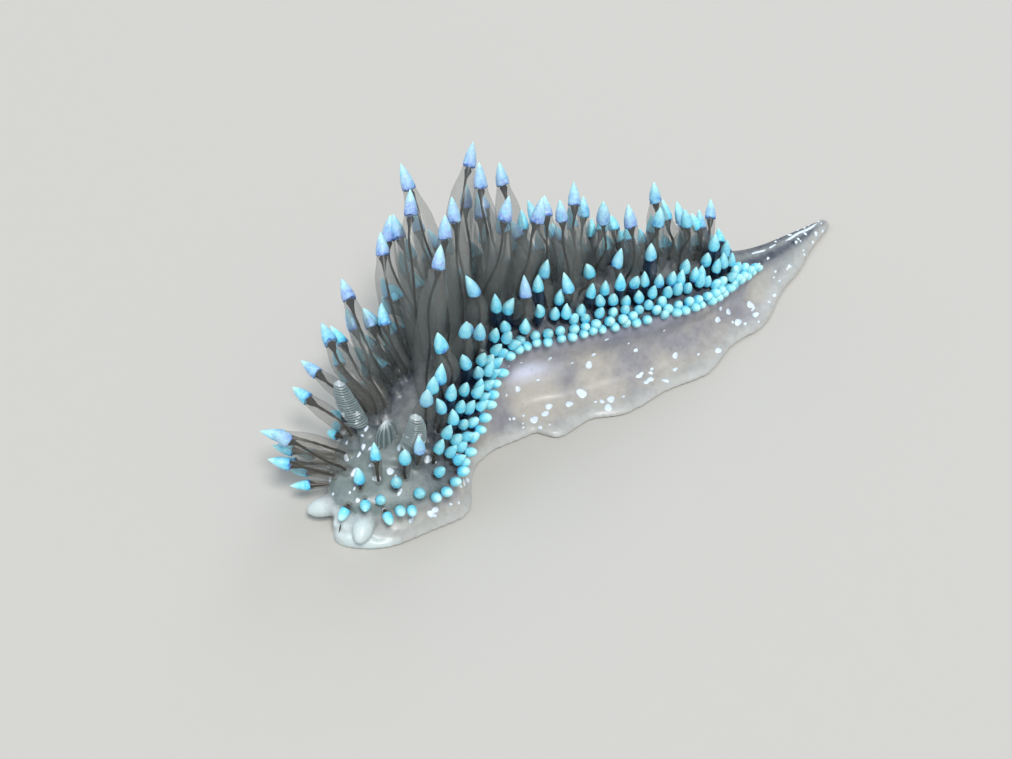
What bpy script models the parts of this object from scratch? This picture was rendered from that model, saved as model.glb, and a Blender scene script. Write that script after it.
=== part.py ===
"""A crested sea slug, Antiopella cristata, crawling: a still model at life size.

The head points to -X, the tail to +X and +Z is up. The animal's left side faces -Y. Every size below is in
millimetres, and MM turns it into metres as each mesh is made. A station is a distance along the crawling body,
from the front of the head to the tip of the tail.
"""

import math
import random

import bmesh
import bpy
import numpy as np

MM = 0.001
GAP = 0.3  # kept between two pieces that touch
LEAST_GAP = 0.12  # between cerata of different nodes

# Midline on the floor, seen from above, from the front of the head to the tip of the tail
MIDLINE = ((-26.3, 0.6), (-20.0, 2.6), (-13.4, 4.6), (-7.0, 6.1), (-0.5, 4.8), (7.0, 2.3), (14.5, 0.9), (22.5, 0.2),
           (32.2, 0.7))
MIDLINE_SHIFT = (-1.82, -4.85)  # puts the middle of the whole animal's box at the origin
MIDLINE_SAMPLES = 600

# (station, size) pairs that a smooth curve runs through
NOTUM_HALF_LEFT = ((0, 3.8), (4, 4.9), (7, 5.8), (10, 5.4), (14, 4.6), (18, 3.6), (22, 3.3), (27, 4.1), (35, 4.1),
                   (40, 3.9), (45, 2.4), (49, 1.3), (54, 0.9), (60, 0.3))
NOTUM_HALF_RIGHT = ((0, 3.8), (4, 4.3), (7, 4.7), (14, 5.0), (21, 5.1), (30, 4.6), (37, 4.2), (42, 3.4), (46, 2.3),
                    (49, 1.4), (54, 0.9), (60, 0.3))
DORSUM_TOP = ((0, 4.0), (4, 4.4), (9, 5.3), (16, 6.9), (22, 7.6), (30, 7.2), (37, 6.1), (44, 4.4), (50, 2.8),
              (60, 0.8))
FOOT_HALF_LEFT = ((-1, 4.6), (2, 5.2), (7, 6.8), (10, 5.8), (14, 5.1), (19, 7.3), (25, 8.3), (33, 7.9), (41, 6.3),
                  (47, 4.6), (51, 2.9), (55, 1.7), (60, 0.5))
FOOT_HALF_RIGHT = ((-1, 1.5), (2, 2.8), (5, 4.8), (8, 6.2), (14, 7.0), (22, 7.6), (32, 7.4), (41, 5.8), (47, 4.2),
                   (51, 2.8), (55, 1.7), (60, 0.5))
HEAD_FRONT = 0.7
FOOT_FRONT = -0.6
FRONT_ROUND = 6.0  # length over which the head and the foot widen from their fronts
FRONT_STEEPNESS = 0.22  # power of that widening by which the head rises
# Share of its height that the back loses from its middle to its edge
RIM_DROP = ((0, 0.28), (4, 0.38), (8, 0.40), (14, 0.24), (20, 0.15), (60, 0.15))
RIM_POWER = 2.4
FLANK_SPREAD = 1.1
FOOT_SHOW = 0.35  # least width of the foot outside the flank
FOOT_TOP = 1.0
FOOT_EDGE = 0.6  # thickness of the foot at its margin
WAVE_HEIGHT = 0.35
WAVE_LENGTH = 7.5

# The body's lengths, each a node of its own
HEAD_END = 10.0
TAIL_START = 48.0
TAIL_END = 59.0
LENGTHS = (("trunk_front", HEAD_END, 22.5), ("trunk_middle", 22.5, 35.5), ("trunk_rear", 35.5, TAIL_START))
FOOT_PARTING = 25.0
RING_STEP = 2.0
FRONT_RINGS = (0.15, 0.6, 1.4, 2.6)  # distances of the first cross-sections from a rounded front

# Rows of cerata, from the small ones at the notum's edge to the tall ones beside the back's bare middle
ROWS = (
    {"inset": 0.2, "spacing": 1.75, "radius": 0.50, "first": 0.0, "last": 47.0,
     "length": (1.4, 1.5), "rise": (35, 18), "aft": (0.0, 0.0), "back": 0, "reach": 1.0},
    {"inset": 0.9, "spacing": 2.0, "radius": 0.60, "first": 0.0, "last": 46.5,
     "length": (2.3, 2.8), "rise": (62, 34), "aft": (-0.1, 0.1), "back": 55, "reach": 0.5},
    {"inset": 1.8, "spacing": 2.4, "radius": 0.78, "first": 2.0, "last": 46.0,
     "length": (4.0, 6.2), "rise": (80, 44), "aft": (-0.2, 0.3), "back": 75, "reach": 0.0},
    {"inset": 2.8, "spacing": 2.8, "radius": 1.00, "first": 4.5, "last": 44.5,
     "length": (6.8, 9.2), "rise": (90, 54), "aft": (-0.1, 0.4), "back": 75, "reach": 0.0},
    {"inset": 3.9, "spacing": 3.3, "radius": 1.28, "first": 11.5, "last": 41.0,
     "length": (12.4, 12.6), "rise": (97, 66), "aft": (0.4, 0.45), "back": 75, "reach": 0.0},
)
LENGTH_SHARE = ((0, 1.3), (5, 1.25), (10, 1.1), (16, 1.15), (21, 1.08), (27, 0.82), (36, 0.70), (47, 0.55))
# Where cerata lean towards the tail
AFT_SHARE = ((0, 0.0), (8, 0.8), (18, 1.0), (26, 0.1), (40, 0.2), (47, 0.8))
# How far from the head's front the degrees of "back", by which a row leans back, die out on the left and right
FRONT_FADE = (2.6, 1.6)
# Share of a row's "reach" by which its right side is longer
RIGHT_REACH = ((0, 0.3), (1, 1.0), (4, 1.0), (7, 0))
# Degrees that the right side's cerata lie further out
RIGHT_SPLAY = ((0, 0), (3, 16), (9, 16), (14, 0))
STEEPEST = 125
YAW_SPREAD = 9
RISE_SPREAD = 5
LENGTH_SPREAD = 0.10
FRONT_INSET = 0.75  # added to a row's inset at the very front of the head, over the feelers
ROOT_CLEARANCE = 0.45  # between a root and the end of its node
SEED = 11

# Outline of a ceras from its root to its tip, as shares of its length and radius
CERAS_SHAPE = ((0.0, 0.62), (0.2, 0.80), (0.45, 1.0), (0.68, 0.92), (0.84, 0.66), (1.0, 0.0))
SHORT_SHAPE = ((0.0, 0.80), (0.45, 1.0), (0.78, 0.72), (1.0, 0.0))
SHORT_LENGTH = 4.6  # cerata under this length take the short shape
SINK = 0.9  # depth of a root under the skin

AXIS_POINTS = 10
RELAX_SWEEPS = 160
ROOT_GIVE = 0.25  # how freely the first point above a root moves
STRAIGHTEN = 0.3
RETURN = 0.02

RHINOPHORE_STATION = 6.9
RHINOPHORE_LATERAL = 1.7
RHINOPHORE_LENGTH = 6.5
RHINOPHORE_RADIUS = 0.95
RHINOPHORE_STALK = 0.5
RHINOPHORE_LEAN = 17
RHINOPHORE_FORWARD = 8
LAMELLAE = 7
LAMELLA_DEPTH = 0.16
CARUNCLE_SIZE = (1.2, 0.62, 2.6)  # half length, half width and height of the crest between the rhinophores
CARUNCLE_FOLDS = 5
FOLD_DEPTH = 0.10

TENTACLE_STATION = 1.75
TENTACLE_LATERAL = 1.35
TENTACLE_HEIGHT = 2.05
TENTACLE_LENGTH = 2.7
TENTACLE_RADIUS = 0.88
TENTACLE_YAW = (20, 50)  # degrees outwards from straight ahead, left and right
TENTACLE_DIP = (8, 15)  # degrees downwards
TENTACLE_SHAPE = ((-0.3, 0.9), (0.1, 1.0), (0.45, 1.0), (0.75, 0.92), (0.92, 0.62), (1.0, 0.0))

FLESH = (0.62, 0.58, 0.55)
CREST_FLESH = (0.70, 0.69, 0.62)
ROUGHNESS = 0.35


# Curves and profiles


def smooth_curve(points, count):
    """(count points evenly spaced along a smooth curve through the given points, its length)."""
    given = np.array(points, float)
    ends = 2 * given[[0, -1]] - given[[1, -2]]
    p = np.vstack([ends[:1], given, ends[1:]])
    t = np.linspace(0, 1, 40, endpoint=False)[:, None]
    runs = []
    for a, b, c, d in zip(p[:-3], p[1:-2], p[2:-1], p[3:]):
        runs.append(b + 0.5 * ((c - a) * t + (2 * a - 5 * b + 4 * c - d) * t**2 + (3 * b - a - 3 * c + d) * t**3))
    dense = np.vstack([*runs, given[-1:]])
    reach = np.concatenate([[0], np.cumsum(np.linalg.norm(np.diff(dense, axis=0), axis=1))])
    at = np.linspace(0, reach[-1], count)
    return np.stack([np.interp(at, reach, dense[:, k]) for k in range(dense.shape[1])], axis=1), reach[-1]


SPINE, BODY_LENGTH = smooth_curve(np.array(MIDLINE) + MIDLINE_SHIFT, MIDLINE_SAMPLES)


def spine_frame(station):
    """Midline point at a station, and unit vectors there towards the tail and towards the animal's left."""
    at = station / BODY_LENGTH * (MIDLINE_SAMPLES - 1)
    i = int(min(max(at, 0), MIDLINE_SAMPLES - 2))
    run = SPINE[i + 1] - SPINE[i]
    aft = run / np.linalg.norm(run)
    return SPINE[i] + (at - i) * run, aft, np.array((aft[1], -aft[0]))


def place(station, lateral, height):
    """A point of space from its station, its distance to the animal's left of the midline and its height."""
    point, _, left = spine_frame(station)
    return np.array((*(point + lateral * left), height))


def along(knots, station):
    """The value at a station of a smooth curve, with no overshoot, through (station, value) knots."""
    x, y = np.array(knots, float).T
    slope = np.diff(y) / np.diff(x)
    turn = slope[:-1] * slope[1:]
    inner = np.where(turn > 0, 2 * turn / np.where(turn > 0, slope[:-1] + slope[1:], 1), 0)
    tangent = np.concatenate([slope[:1], inner, slope[-1:]])
    s = min(max(station, x[0]), x[-1])
    i = int(min(np.searchsorted(x, s, side="right") - 1, len(x) - 2))
    width = x[i + 1] - x[i]
    t = (s - x[i]) / width
    start = (1 + 2 * t) * (1 - t) ** 2 * y[i] + t * (1 - t) ** 2 * width * tangent[i]
    return float(start + t * t * (3 - 2 * t) * y[i + 1] - t * t * (1 - t) * width * tangent[i + 1])


def front_round(station, front):
    """From 0 at a front to 1 where the body has its full width, along a quarter circle."""
    ahead = min(max((station - front) / FRONT_ROUND, 0), 1)
    return math.sqrt(1 - (1 - ahead) ** 2)


# The body's cross-sections


def notum_half(station, side):
    """Half width of the back on the left (side 1) or right (side -1)."""
    knots = NOTUM_HALF_LEFT if side > 0 else NOTUM_HALF_RIGHT
    return along(knots, station) * front_round(station, HEAD_FRONT)


def dorsum_height(station, lateral):
    """Height of the back over the floor, highest at the middle."""
    low = FOOT_TOP + GAP
    top = low + (along(DORSUM_TOP, station) - low) * front_round(station, HEAD_FRONT) ** FRONT_STEEPNESS
    share = min(1, abs(lateral) / max(notum_half(station, lateral), 1e-6))
    return top * (1 - along(RIM_DROP, station) * share**RIM_POWER)


def foot_half(station, side):
    """Half width of the foot on one side, with its gently waved margin."""
    knots = FOOT_HALF_LEFT if side > 0 else FOOT_HALF_RIGHT
    width = along(knots, station)
    wave = WAVE_HEIGHT * math.sin(2 * math.pi * station / WAVE_LENGTH + side) * min(1, width / 6)
    return (width + wave) * front_round(station, FOOT_FRONT)


def flank(station, side, low):
    """Outline of one side, from the flank's base at a height of low over the notum's edge towards the midline."""
    half = notum_half(station, side)
    rim = dorsum_height(station, side * half)
    base = min(half + FLANK_SPREAD * min(1, half / 3), max(foot_half(station, side) - FOOT_SHOW, 0.9 * half))
    return [(base, low)] + [
        (share * half, low + height * (rim - low)) for share, height in ((0.97, 0.42), (1.0, 0.80))
    ] + [(share * half, dorsum_height(station, side * share * half)) for share in (0.90, 0.52)]


def ring_of(left, right, *middle):
    """A closed ring from the outlines of both sides, which run up to the points between them."""
    return left + list(middle) + [(-lateral, height) for lateral, height in reversed(right)]


def foot_margin(station, side):
    """Outline of the foot on one side, from the sole's middle round the margin to the foot's upper side."""
    wide = foot_half(station, side)
    edge = min(1.0, wide / 2)
    return [(max(wide - 0.4 * edge, 0), 0.0), (wide, 0.45 * FOOT_EDGE), (max(wide - 0.3 * edge, 0), FOOT_EDGE)]


def trunk_ring(station):
    low = FOOT_TOP + GAP
    return ring_of(flank(station, 1, low), flank(station, -1, low), (0.0, dorsum_height(station, 0)))


def foot_ring(station):
    left, right = foot_margin(station, 1), foot_margin(station, -1)
    return ring_of(left, right, (0.55 * left[0][0], FOOT_TOP), (-0.55 * right[0][0], FOOT_TOP))


def tail_ring(station):
    """The tail is one piece from the sole to the back, so its ring has both the foot's margins and the flanks."""
    low = FOOT_EDGE + 0.25
    left, right = (foot_margin(station, side) + flank(station, side, low)[1:] for side in (1, -1))
    return ring_of(left, right, (0.0, dorsum_height(station, 0)))


# Layout of the cerata


def notum_edge(side):
    """(stations, points seen from above, unit normals outwards) along the notum's edge on one side."""
    turn = np.linspace(0, math.pi / 2, 60)
    stations = np.concatenate([HEAD_FRONT + FRONT_ROUND * (1 - np.cos(turn)), np.arange(7.0, 49.0, 0.25)])
    points = np.array([place(s, side * notum_half(s, side), 0)[:2] for s in stations])
    run = np.gradient(points, axis=0)
    run /= np.linalg.norm(run, axis=1)[:, None]
    outwards = side * np.stack([run[:, 1], -run[:, 0]], axis=1)
    return stations, points, outwards


def locate(x, y):
    """(station, distance to the left of the midline) of a point seen from above."""
    away = np.linalg.norm(SPINE - (x, y), axis=1)
    station = int(away.argmin()) / (MIDLINE_SAMPLES - 1) * BODY_LENGTH
    point, _, left = spine_frame(station)
    return station, float((np.array((x, y)) - point) @ left)


def clear_of_ends(station, radius):
    """A station moved so that a root of this radius there stays inside one node."""
    keep = radius + ROOT_CLEARANCE
    for end in (HEAD_END, *(stop for _, _, stop in LENGTHS)):
        if abs(station - end) < keep:
            return end - keep if station < end else end + keep
    return station


def row_of_cerata(number, side):
    """The cerata of one row on one side, each with its root, direction, length, radius and station."""
    row = ROWS[number]
    which = 0 if side > 0 else 1
    dice = random.Random(SEED + 10 * number + which)
    stations, points, outwards = notum_edge(side)
    reach = np.concatenate([[0], np.cumsum(np.linalg.norm(np.diff(points, axis=0), axis=1))])
    made = []
    at = row["spacing"] * dice.uniform(0.2, 0.8)
    while at < reach[-1]:
        here = at + dice.uniform(-0.12, 0.12) * row["spacing"]
        yaw = math.radians(dice.gauss(0, YAW_SPREAD))
        tilt = dice.gauss(0, RISE_SPREAD)
        longer = 1 + dice.uniform(-LENGTH_SPREAD, LENGTH_SPREAD)
        at += row["spacing"]
        edge = np.array([np.interp(here, reach, points[:, k]) for k in (0, 1)])
        out = np.array([np.interp(here, reach, outwards[:, k]) for k in (0, 1)])
        station = float(np.interp(here, reach, stations))
        if not row["first"] <= station <= row["last"]:
            continue
        narrow = min(1, notum_half(max(station, 7), side) / 5.0)
        front = math.exp(-((station / FRONT_FADE[which]) ** 2))
        root_station, lateral = locate(*(edge - (row["inset"] * narrow + FRONT_INSET * front) * out))
        root_station = clear_of_ends(root_station, 0.8 * row["radius"])
        share = along(LENGTH_SHARE, station)
        splay = along(RIGHT_SPLAY, station) if side < 0 else 0
        further = row["reach"] * along(RIGHT_REACH, station) if side < 0 and station < 7 else 0
        rise = row["rise"][which] - splay + tilt + row["back"] * front
        rise = math.radians(min(rise, STEEPEST))
        turned = np.array((math.cos(yaw) * out[0] - math.sin(yaw) * out[1],
                           math.sin(yaw) * out[0] + math.cos(yaw) * out[1]))
        lean = row["aft"][which] * along(AFT_SHARE, station) * spine_frame(station)[1]
        direction = np.array((*(turned * math.cos(rise) + lean), math.sin(rise)))
        made.append({
            "root": place(root_station, lateral, dorsum_height(root_station, lateral)),
            "direction": direction / np.linalg.norm(direction),
            "length": row["length"][which] * share * longer * (1 + further),
            "radius": row["radius"] * (0.55 + 0.45 * min(share, 1)),
            "station": root_station,
        })
    return made


def shape_of(ceras):
    return SHORT_SHAPE if ceras["length"] < SHORT_LENGTH else CERAS_SHAPE


def blockers():
    """(points, radii) along the feelers and the crest, which no ceras may touch."""
    found = []
    for side in (1, -1):
        found += zip(*rhinophore_axis(side))
        found += zip(*tentacle_axis(side))
    base = place(RHINOPHORE_STATION, 0, dorsum_height(RHINOPHORE_STATION, 0))
    for share in (0.2, 0.5, 0.8):
        found.append((base + (0, 0, share * CARUNCLE_SIZE[2]), CARUNCLE_SIZE[0]))
    return np.array([p for p, _ in found]), np.array([r for _, r in found])


def body_top(x, y):
    """Height of the body under a point seen from above."""
    station, lateral = locate(x, y)
    if abs(lateral) <= notum_half(station, lateral):
        return dorsum_height(station, lateral)
    return FOOT_TOP


def body_tops(points):
    """Heights of the body under many points, from a table over the animal's whole length."""
    cells = np.floor((points[..., :2] - TOPS_START) / TOPS_STEP).astype(int)
    cells = np.clip(cells, 0, np.array(TOPS.shape) - 1)
    return TOPS[cells[..., 0], cells[..., 1]]


def bend_apart(cerata):
    """Gives each ceras an axis that clears its neighbours', as the soft real ones lean on one another."""
    steps = np.linspace(0, 1, AXIS_POINTS)
    rest = np.array([c["root"] + np.outer(steps * c["length"], c["direction"]) for c in cerata])
    radii = np.array([c["radius"] * np.interp(steps, *np.array(shape_of(c)).T) for c in cerata])
    radii[:, -1] = 0.3 * radii[:, -2]
    give = np.ones(AXIS_POINTS)
    give[:2] = (0, ROOT_GIVE)
    still, still_radii = blockers()
    owner = np.concatenate([np.repeat(np.arange(len(cerata)), AXIS_POINTS), np.full(len(still), -1)])
    size = np.concatenate([radii.ravel(), still_radii])
    free = np.concatenate([np.tile(give, len(cerata)), np.zeros(len(still))])
    link = np.array([c["length"] for c in cerata]) / (AXIS_POINTS - 1)
    axes = rest.copy()
    for sweep in range(RELAX_SWEEPS):
        points = np.vstack([axes.reshape(-1, 3), still])
        if sweep % 10 == 0:
            apart = np.linalg.norm(points[:, None] - points[None], axis=2)
            near = apart < size[:, None] + size[None] + GAP + 1.5
            a, b = np.nonzero(np.triu(near & (owner[:, None] != owner[None])))
        along_pair = points[a] - points[b]
        distance = np.maximum(np.linalg.norm(along_pair, axis=1), 1e-6)
        lack = np.maximum(0, size[a] + size[b] + GAP * 1.3 - distance)
        push = along_pair * (0.5 * lack / distance)[:, None]
        shift = np.zeros_like(points)
        np.add.at(shift, a, push)
        np.add.at(shift, b, -push)
        axes = axes + (shift * free[:, None])[: axes.size // 3].reshape(axes.shape)
        middle = (axes[:, :-2] + axes[:, 2:]) / 2
        axes[:, 1:-1] += STRAIGHTEN * (middle - axes[:, 1:-1]) * give[None, 1:-1, None]
        axes += RETURN * (rest - axes)
        axes[:, 2:, 2] = np.maximum(axes[:, 2:, 2], body_tops(axes[:, 2:]) + GAP + radii[:, 2:])
        for k in range(1, AXIS_POINTS):
            run = axes[:, k] - axes[:, k - 1]
            axes[:, k] = axes[:, k - 1] + run * (link / np.linalg.norm(run, axis=1))[:, None]
    for ceras, axis in zip(cerata, axes):
        ceras["axis"] = axis
    return cerata


def clears_feelers(ceras):
    points, radii = blockers()
    apart = np.linalg.norm(points - ceras["root"], axis=1) - radii
    return apart.min() > 0.8 * ceras["radius"] + LEAST_GAP


def node_of(station):
    return sum(station >= end for end in (HEAD_END, *(stop for _, _, stop in LENGTHS)))


def drop_touching(cerata):
    """Leaves out cerata that touch a feeler, and the shorter of any two of different nodes that touch."""
    fine = np.linspace(0, 1, 40)
    coarse = np.linspace(0, 1, AXIS_POINTS)
    points = [np.stack([np.interp(fine, coarse, c["axis"][:, k]) for k in range(3)], axis=1) for c in cerata]
    radii = [c["radius"] * np.interp(fine, *np.array(shape_of(c)).T) for c in cerata]
    still, still_radii = blockers()
    dropped = set()
    for i, first in enumerate(cerata):
        room = np.linalg.norm(points[i][:, None] - still[None], axis=2) - radii[i][:, None] - still_radii
        if room.min() < LEAST_GAP:
            dropped.add(i)
        for k in range(i):
            second = cerata[k]
            reach = first["length"] + second["length"] + 3
            if node_of(first["station"]) == node_of(second["station"]) or abs(
                    first["station"] - second["station"]) > reach:
                continue
            room = np.linalg.norm(points[i][:, None] - points[k][None], axis=2) - radii[i][:, None] - radii[k]
            if room.min() < LEAST_GAP:
                dropped.add(i if first["length"] < second["length"] else k)
    return [c for i, c in enumerate(cerata) if i not in dropped]


def all_cerata():
    found = [c for side in (1, -1) for number in range(len(ROWS)) for c in row_of_cerata(number, side)]
    return drop_touching(bend_apart([c for c in found if clears_feelers(c)]))


TOPS_START = np.array((-34.0, -20.0))
TOPS_STEP = 1.0
TOPS = np.array([[body_top(TOPS_START[0] + TOPS_STEP * (i + 0.5), TOPS_START[1] + TOPS_STEP * (k + 0.5))
                  for k in range(34)] for i in range(68)])


# Mesh making


def new_object(name, points, faces):
    """A mesh object from points in millimetres."""
    mesh = bpy.data.meshes.new(name)
    mesh.from_pydata([tuple(float(x) * MM for x in p) for p in points], [], faces)
    body = bmesh.new()
    body.from_mesh(mesh)
    bmesh.ops.recalc_face_normals(body, faces=body.faces)
    bmesh.ops.triangulate(body, faces=body.faces)
    body.to_mesh(mesh)
    body.free()
    made = bpy.data.objects.new(name, mesh)
    bpy.context.scene.collection.objects.link(made)
    return made


def loft(name, rings, start=None, end=None):
    """A closed body through rings of points, ending in a flat cap or, where given, in a single point."""
    count = len(rings[0])
    points = [p for ring in rings for p in ring]
    faces = []
    for r in range(len(rings) - 1):
        for k in range(count):
            n = (k + 1) % count
            faces.append((r * count + k, r * count + n, (r + 1) * count + n, (r + 1) * count + k))
    for first, tip in ((0, start), ((len(rings) - 1) * count, end)):
        ring = list(range(first, first + count))
        if tip is None:
            faces.append(ring)
        else:
            points.append(tip)
            faces += [(ring[k], ring[(k + 1) % count], len(points) - 1) for k in range(count)]
    return new_object(name, points, faces)


def body_loft(name, ring_at, first, last, fronted=False):
    """A body length: its cross-sections placed along the midline, with a rounded front if asked for."""
    stations = np.linspace(first, last, max(2, math.ceil((last - first) / RING_STEP) + 1))
    start = None
    if fronted:
        stations = np.concatenate([first + np.array(FRONT_RINGS), stations[stations > first + FRONT_RINGS[-1] + 1]])
        heights = [height for _, height in ring_at(first + FRONT_RINGS[0])]
        start = place(first, 0, sum(heights) / len(heights))
    return loft(name, [[place(s, w, h) for w, h in ring_at(s)] for s in stations], start=start)


def tube_frames(axis):
    """(side, up) unit vectors across each point of a line, turning with it as little as possible."""
    runs = np.gradient(axis, axis=0)
    runs /= np.linalg.norm(runs, axis=1)[:, None]
    start = np.array((1.0, 0, 0)) if abs(runs[0][0]) < 0.7 else np.array((0, 1.0, 0))
    frames = []
    for run in runs:
        side = start - (start @ run) * run
        side /= np.linalg.norm(side)
        frames.append((side, np.cross(run, side)))
        start = side
    return frames


def tube(name, axis, radii, sides, tip):
    """A closed round piece about a line of points, with a radius at each, ending in the point tip."""
    rings = []
    for point, radius, (side, up) in zip(axis, radii, tube_frames(np.array(axis))):
        turns = [2 * math.pi * k / sides for k in range(sides)]
        rings.append([point + radius * (math.cos(t) * side + math.sin(t) * up) for t in turns])
    return loft(name, rings, end=tip)


def ceras_object(name, ceras):
    """The faceted solid of one ceras, with its root sunk under the skin."""
    shape = shape_of(ceras)
    curve, _ = smooth_curve(ceras["axis"], 61)
    depth = SINK * min(1, ceras["radius"] / 0.8)
    root_run = curve[1] - curve[0]
    sunk = curve[0] - depth * root_run / np.linalg.norm(root_run)
    shares = [share for share, _ in shape[:-1]]
    radii = [radius * ceras["radius"] for _, radius in shape[:-1]]
    axis = [sunk] + [curve[round(60 * share)] for share in shares[1:]]
    sides = 5 if shape is SHORT_SHAPE else 6
    return tube(name, axis, radii, sides, curve[-1])


def largest_surface(obj):
    """Leaves only the biggest closed surface of a mesh."""
    body = bmesh.new()
    body.from_mesh(obj.data)
    left = set(body.faces)
    islands = []
    while left:
        seeds = [left.pop()]
        island = []
        while seeds:
            face = seeds.pop()
            island.append(face)
            for edge in face.edges:
                for other in edge.link_faces:
                    if other in left:
                        left.discard(other)
                        seeds.append(other)
        islands.append(island)
    islands.sort(key=len)
    for island in islands[:-1]:
        bmesh.ops.delete(body, geom=island, context="FACES")
    bmesh.ops.triangulate(body, faces=body.faces)
    body.to_mesh(obj.data)
    body.free()


def boolean(target, operation, pieces, solver="MANIFOLD"):
    """Joins pieces to target, or cuts them from it, in one step, and removes them."""
    group = bpy.data.collections.new(target.name + "_" + operation.lower())
    bpy.context.scene.collection.children.link(group)
    for piece in pieces:
        bpy.context.scene.collection.objects.unlink(piece)
        group.objects.link(piece)
    step = target.modifiers.new(operation.lower(), "BOOLEAN")
    step.operation = operation
    step.solver = solver
    step.operand_type = "COLLECTION"
    step.collection = group
    with bpy.context.temp_override(object=target, active_object=target):
        bpy.ops.object.modifier_apply(modifier=step.name)
    for piece in pieces:
        bpy.data.objects.remove(piece)
    bpy.data.collections.remove(group)
    largest_surface(target)
    return target


def grow_cerata(node, first, last, cerata):
    """Fuses to a body length the cerata whose roots lie between two stations."""
    own = [c for c in cerata if first <= c["station"] < last]
    pieces = [ceras_object(f"{node.name}_ceras_{i}", c) for i, c in enumerate(own)]
    return boolean(node, "UNION", pieces)


# The pieces


def head_solid(name):
    return body_loft(name, trunk_ring, HEAD_FRONT, HEAD_END - GAP / 2, fronted=True)


def head_cutter():
    """The head swollen all over by the gap, to cut what grows from it."""
    cutter = head_solid("cutter")
    body = bmesh.new()
    body.from_mesh(cutter.data)
    body.normal_update()
    moves = [v.normal * v.calc_shell_factor() * GAP * MM for v in body.verts]
    for vertex, move in zip(body.verts, moves):
        vertex.co += move
    body.to_mesh(cutter.data)
    body.free()
    return cutter


def head(cerata):
    grow_cerata(head_solid("head"), -1, HEAD_END, cerata)


def trunk(cerata):
    for name, first, last in LENGTHS:
        made = body_loft(name, trunk_ring, first + GAP / 2, last - GAP / 2)
        grow_cerata(made, first, last, cerata)


def tail():
    stations = np.linspace(TAIL_START + GAP / 2, TAIL_END, 7)
    loft("tail", [[place(s, w, h) for w, h in tail_ring(s)] for s in stations], end=place(BODY_LENGTH, 0, 0.35))


def foot():
    body_loft("foot_front", foot_ring, FOOT_FRONT, FOOT_PARTING - GAP / 2, fronted=True)
    body_loft("foot_rear", foot_ring, FOOT_PARTING + GAP / 2, TAIL_START - GAP / 2)


def rhinophore_axis(side):
    """(points, radii) of a rhinophore's axis, from under the skin to its tip."""
    _, aft, left = spine_frame(RHINOPHORE_STATION)
    lateral = side * RHINOPHORE_LATERAL
    root = place(RHINOPHORE_STATION, lateral, dorsum_height(RHINOPHORE_STATION, lateral))
    lean = math.radians(RHINOPHORE_LEAN)
    forward = math.radians(RHINOPHORE_FORWARD)
    across = side * left * math.sin(lean) - aft * math.sin(forward)
    direction = np.array((*across, math.cos(lean)))
    direction /= np.linalg.norm(direction)
    shares = np.linspace(-0.12, 1, 12)
    bow = np.array((*(side * left), 0))
    points = [root + s * RHINOPHORE_LENGTH * direction + 0.5 * bow * math.sin(math.pi * max(s, 0)) for s in shares]
    radii = [rhinophore_radius(max(s, 0)) + LAMELLA_DEPTH for s in shares]
    return points, radii


def rhinophore_radius(share):
    """A slim stalk under a club that is widest a third of the way up."""
    knots = ((0, RHINOPHORE_STALK), (0.22, RHINOPHORE_STALK), (0.36, 0.82 * RHINOPHORE_RADIUS),
             (0.52, RHINOPHORE_RADIUS - LAMELLA_DEPTH), (0.8, 0.62 * RHINOPHORE_RADIUS), (1.0, 0.22))
    return along(knots, share)


def rhinophore(name, side):
    """A club with a stack of lamellae, as rings that stand out and slope."""
    points, _ = rhinophore_axis(side)
    curve, _ = smooth_curve(points, 113)
    club_start = 0.30
    rings = [(0.0, RHINOPHORE_STALK), (club_start - 0.04, RHINOPHORE_STALK)]
    pitch = (0.95 - club_start) / LAMELLAE
    for k in range(LAMELLAE):
        low = club_start + k * pitch
        rings.append((low + 0.15 * pitch, rhinophore_radius(low) - 0.5 * LAMELLA_DEPTH))
        rings.append((low + 0.55 * pitch, rhinophore_radius(low + 0.5 * pitch) + LAMELLA_DEPTH))
    at = [curve[round(112 * share)] for share, _ in rings]
    made = tube(name, at, [radius for _, radius in rings], 10, curve[-1])
    return boolean(made, "DIFFERENCE", [head_cutter()])


def caruncle():
    """The folded crest between the rhinophores."""
    base = place(RHINOPHORE_STATION, 0, dorsum_height(RHINOPHORE_STATION, 0) - 0.6)
    _, aft, left = spine_frame(RHINOPHORE_STATION)
    long_half, wide_half, height = CARUNCLE_SIZE
    rings = []
    sides = 4 * CARUNCLE_FOLDS
    for share in (0.0, 0.3, 0.55, 0.75, 0.9):
        swell = math.sqrt(1 - (share - 0.25) ** 2 / 0.62)
        ring = []
        for k in range(sides):
            turn = 2 * math.pi * k / sides
            fold = 1 + FOLD_DEPTH * math.cos(2 * CARUNCLE_FOLDS * turn)
            flat = swell * fold * (long_half * math.cos(turn) * aft + wide_half * math.sin(turn) * left)
            ring.append(base + (*flat, share * (height + 0.6)))
        rings.append(ring)
    made = loft("caruncle", rings, end=base + (0, 0, height + 0.6))
    return boolean(made, "DIFFERENCE", [head_cutter()])


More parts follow.
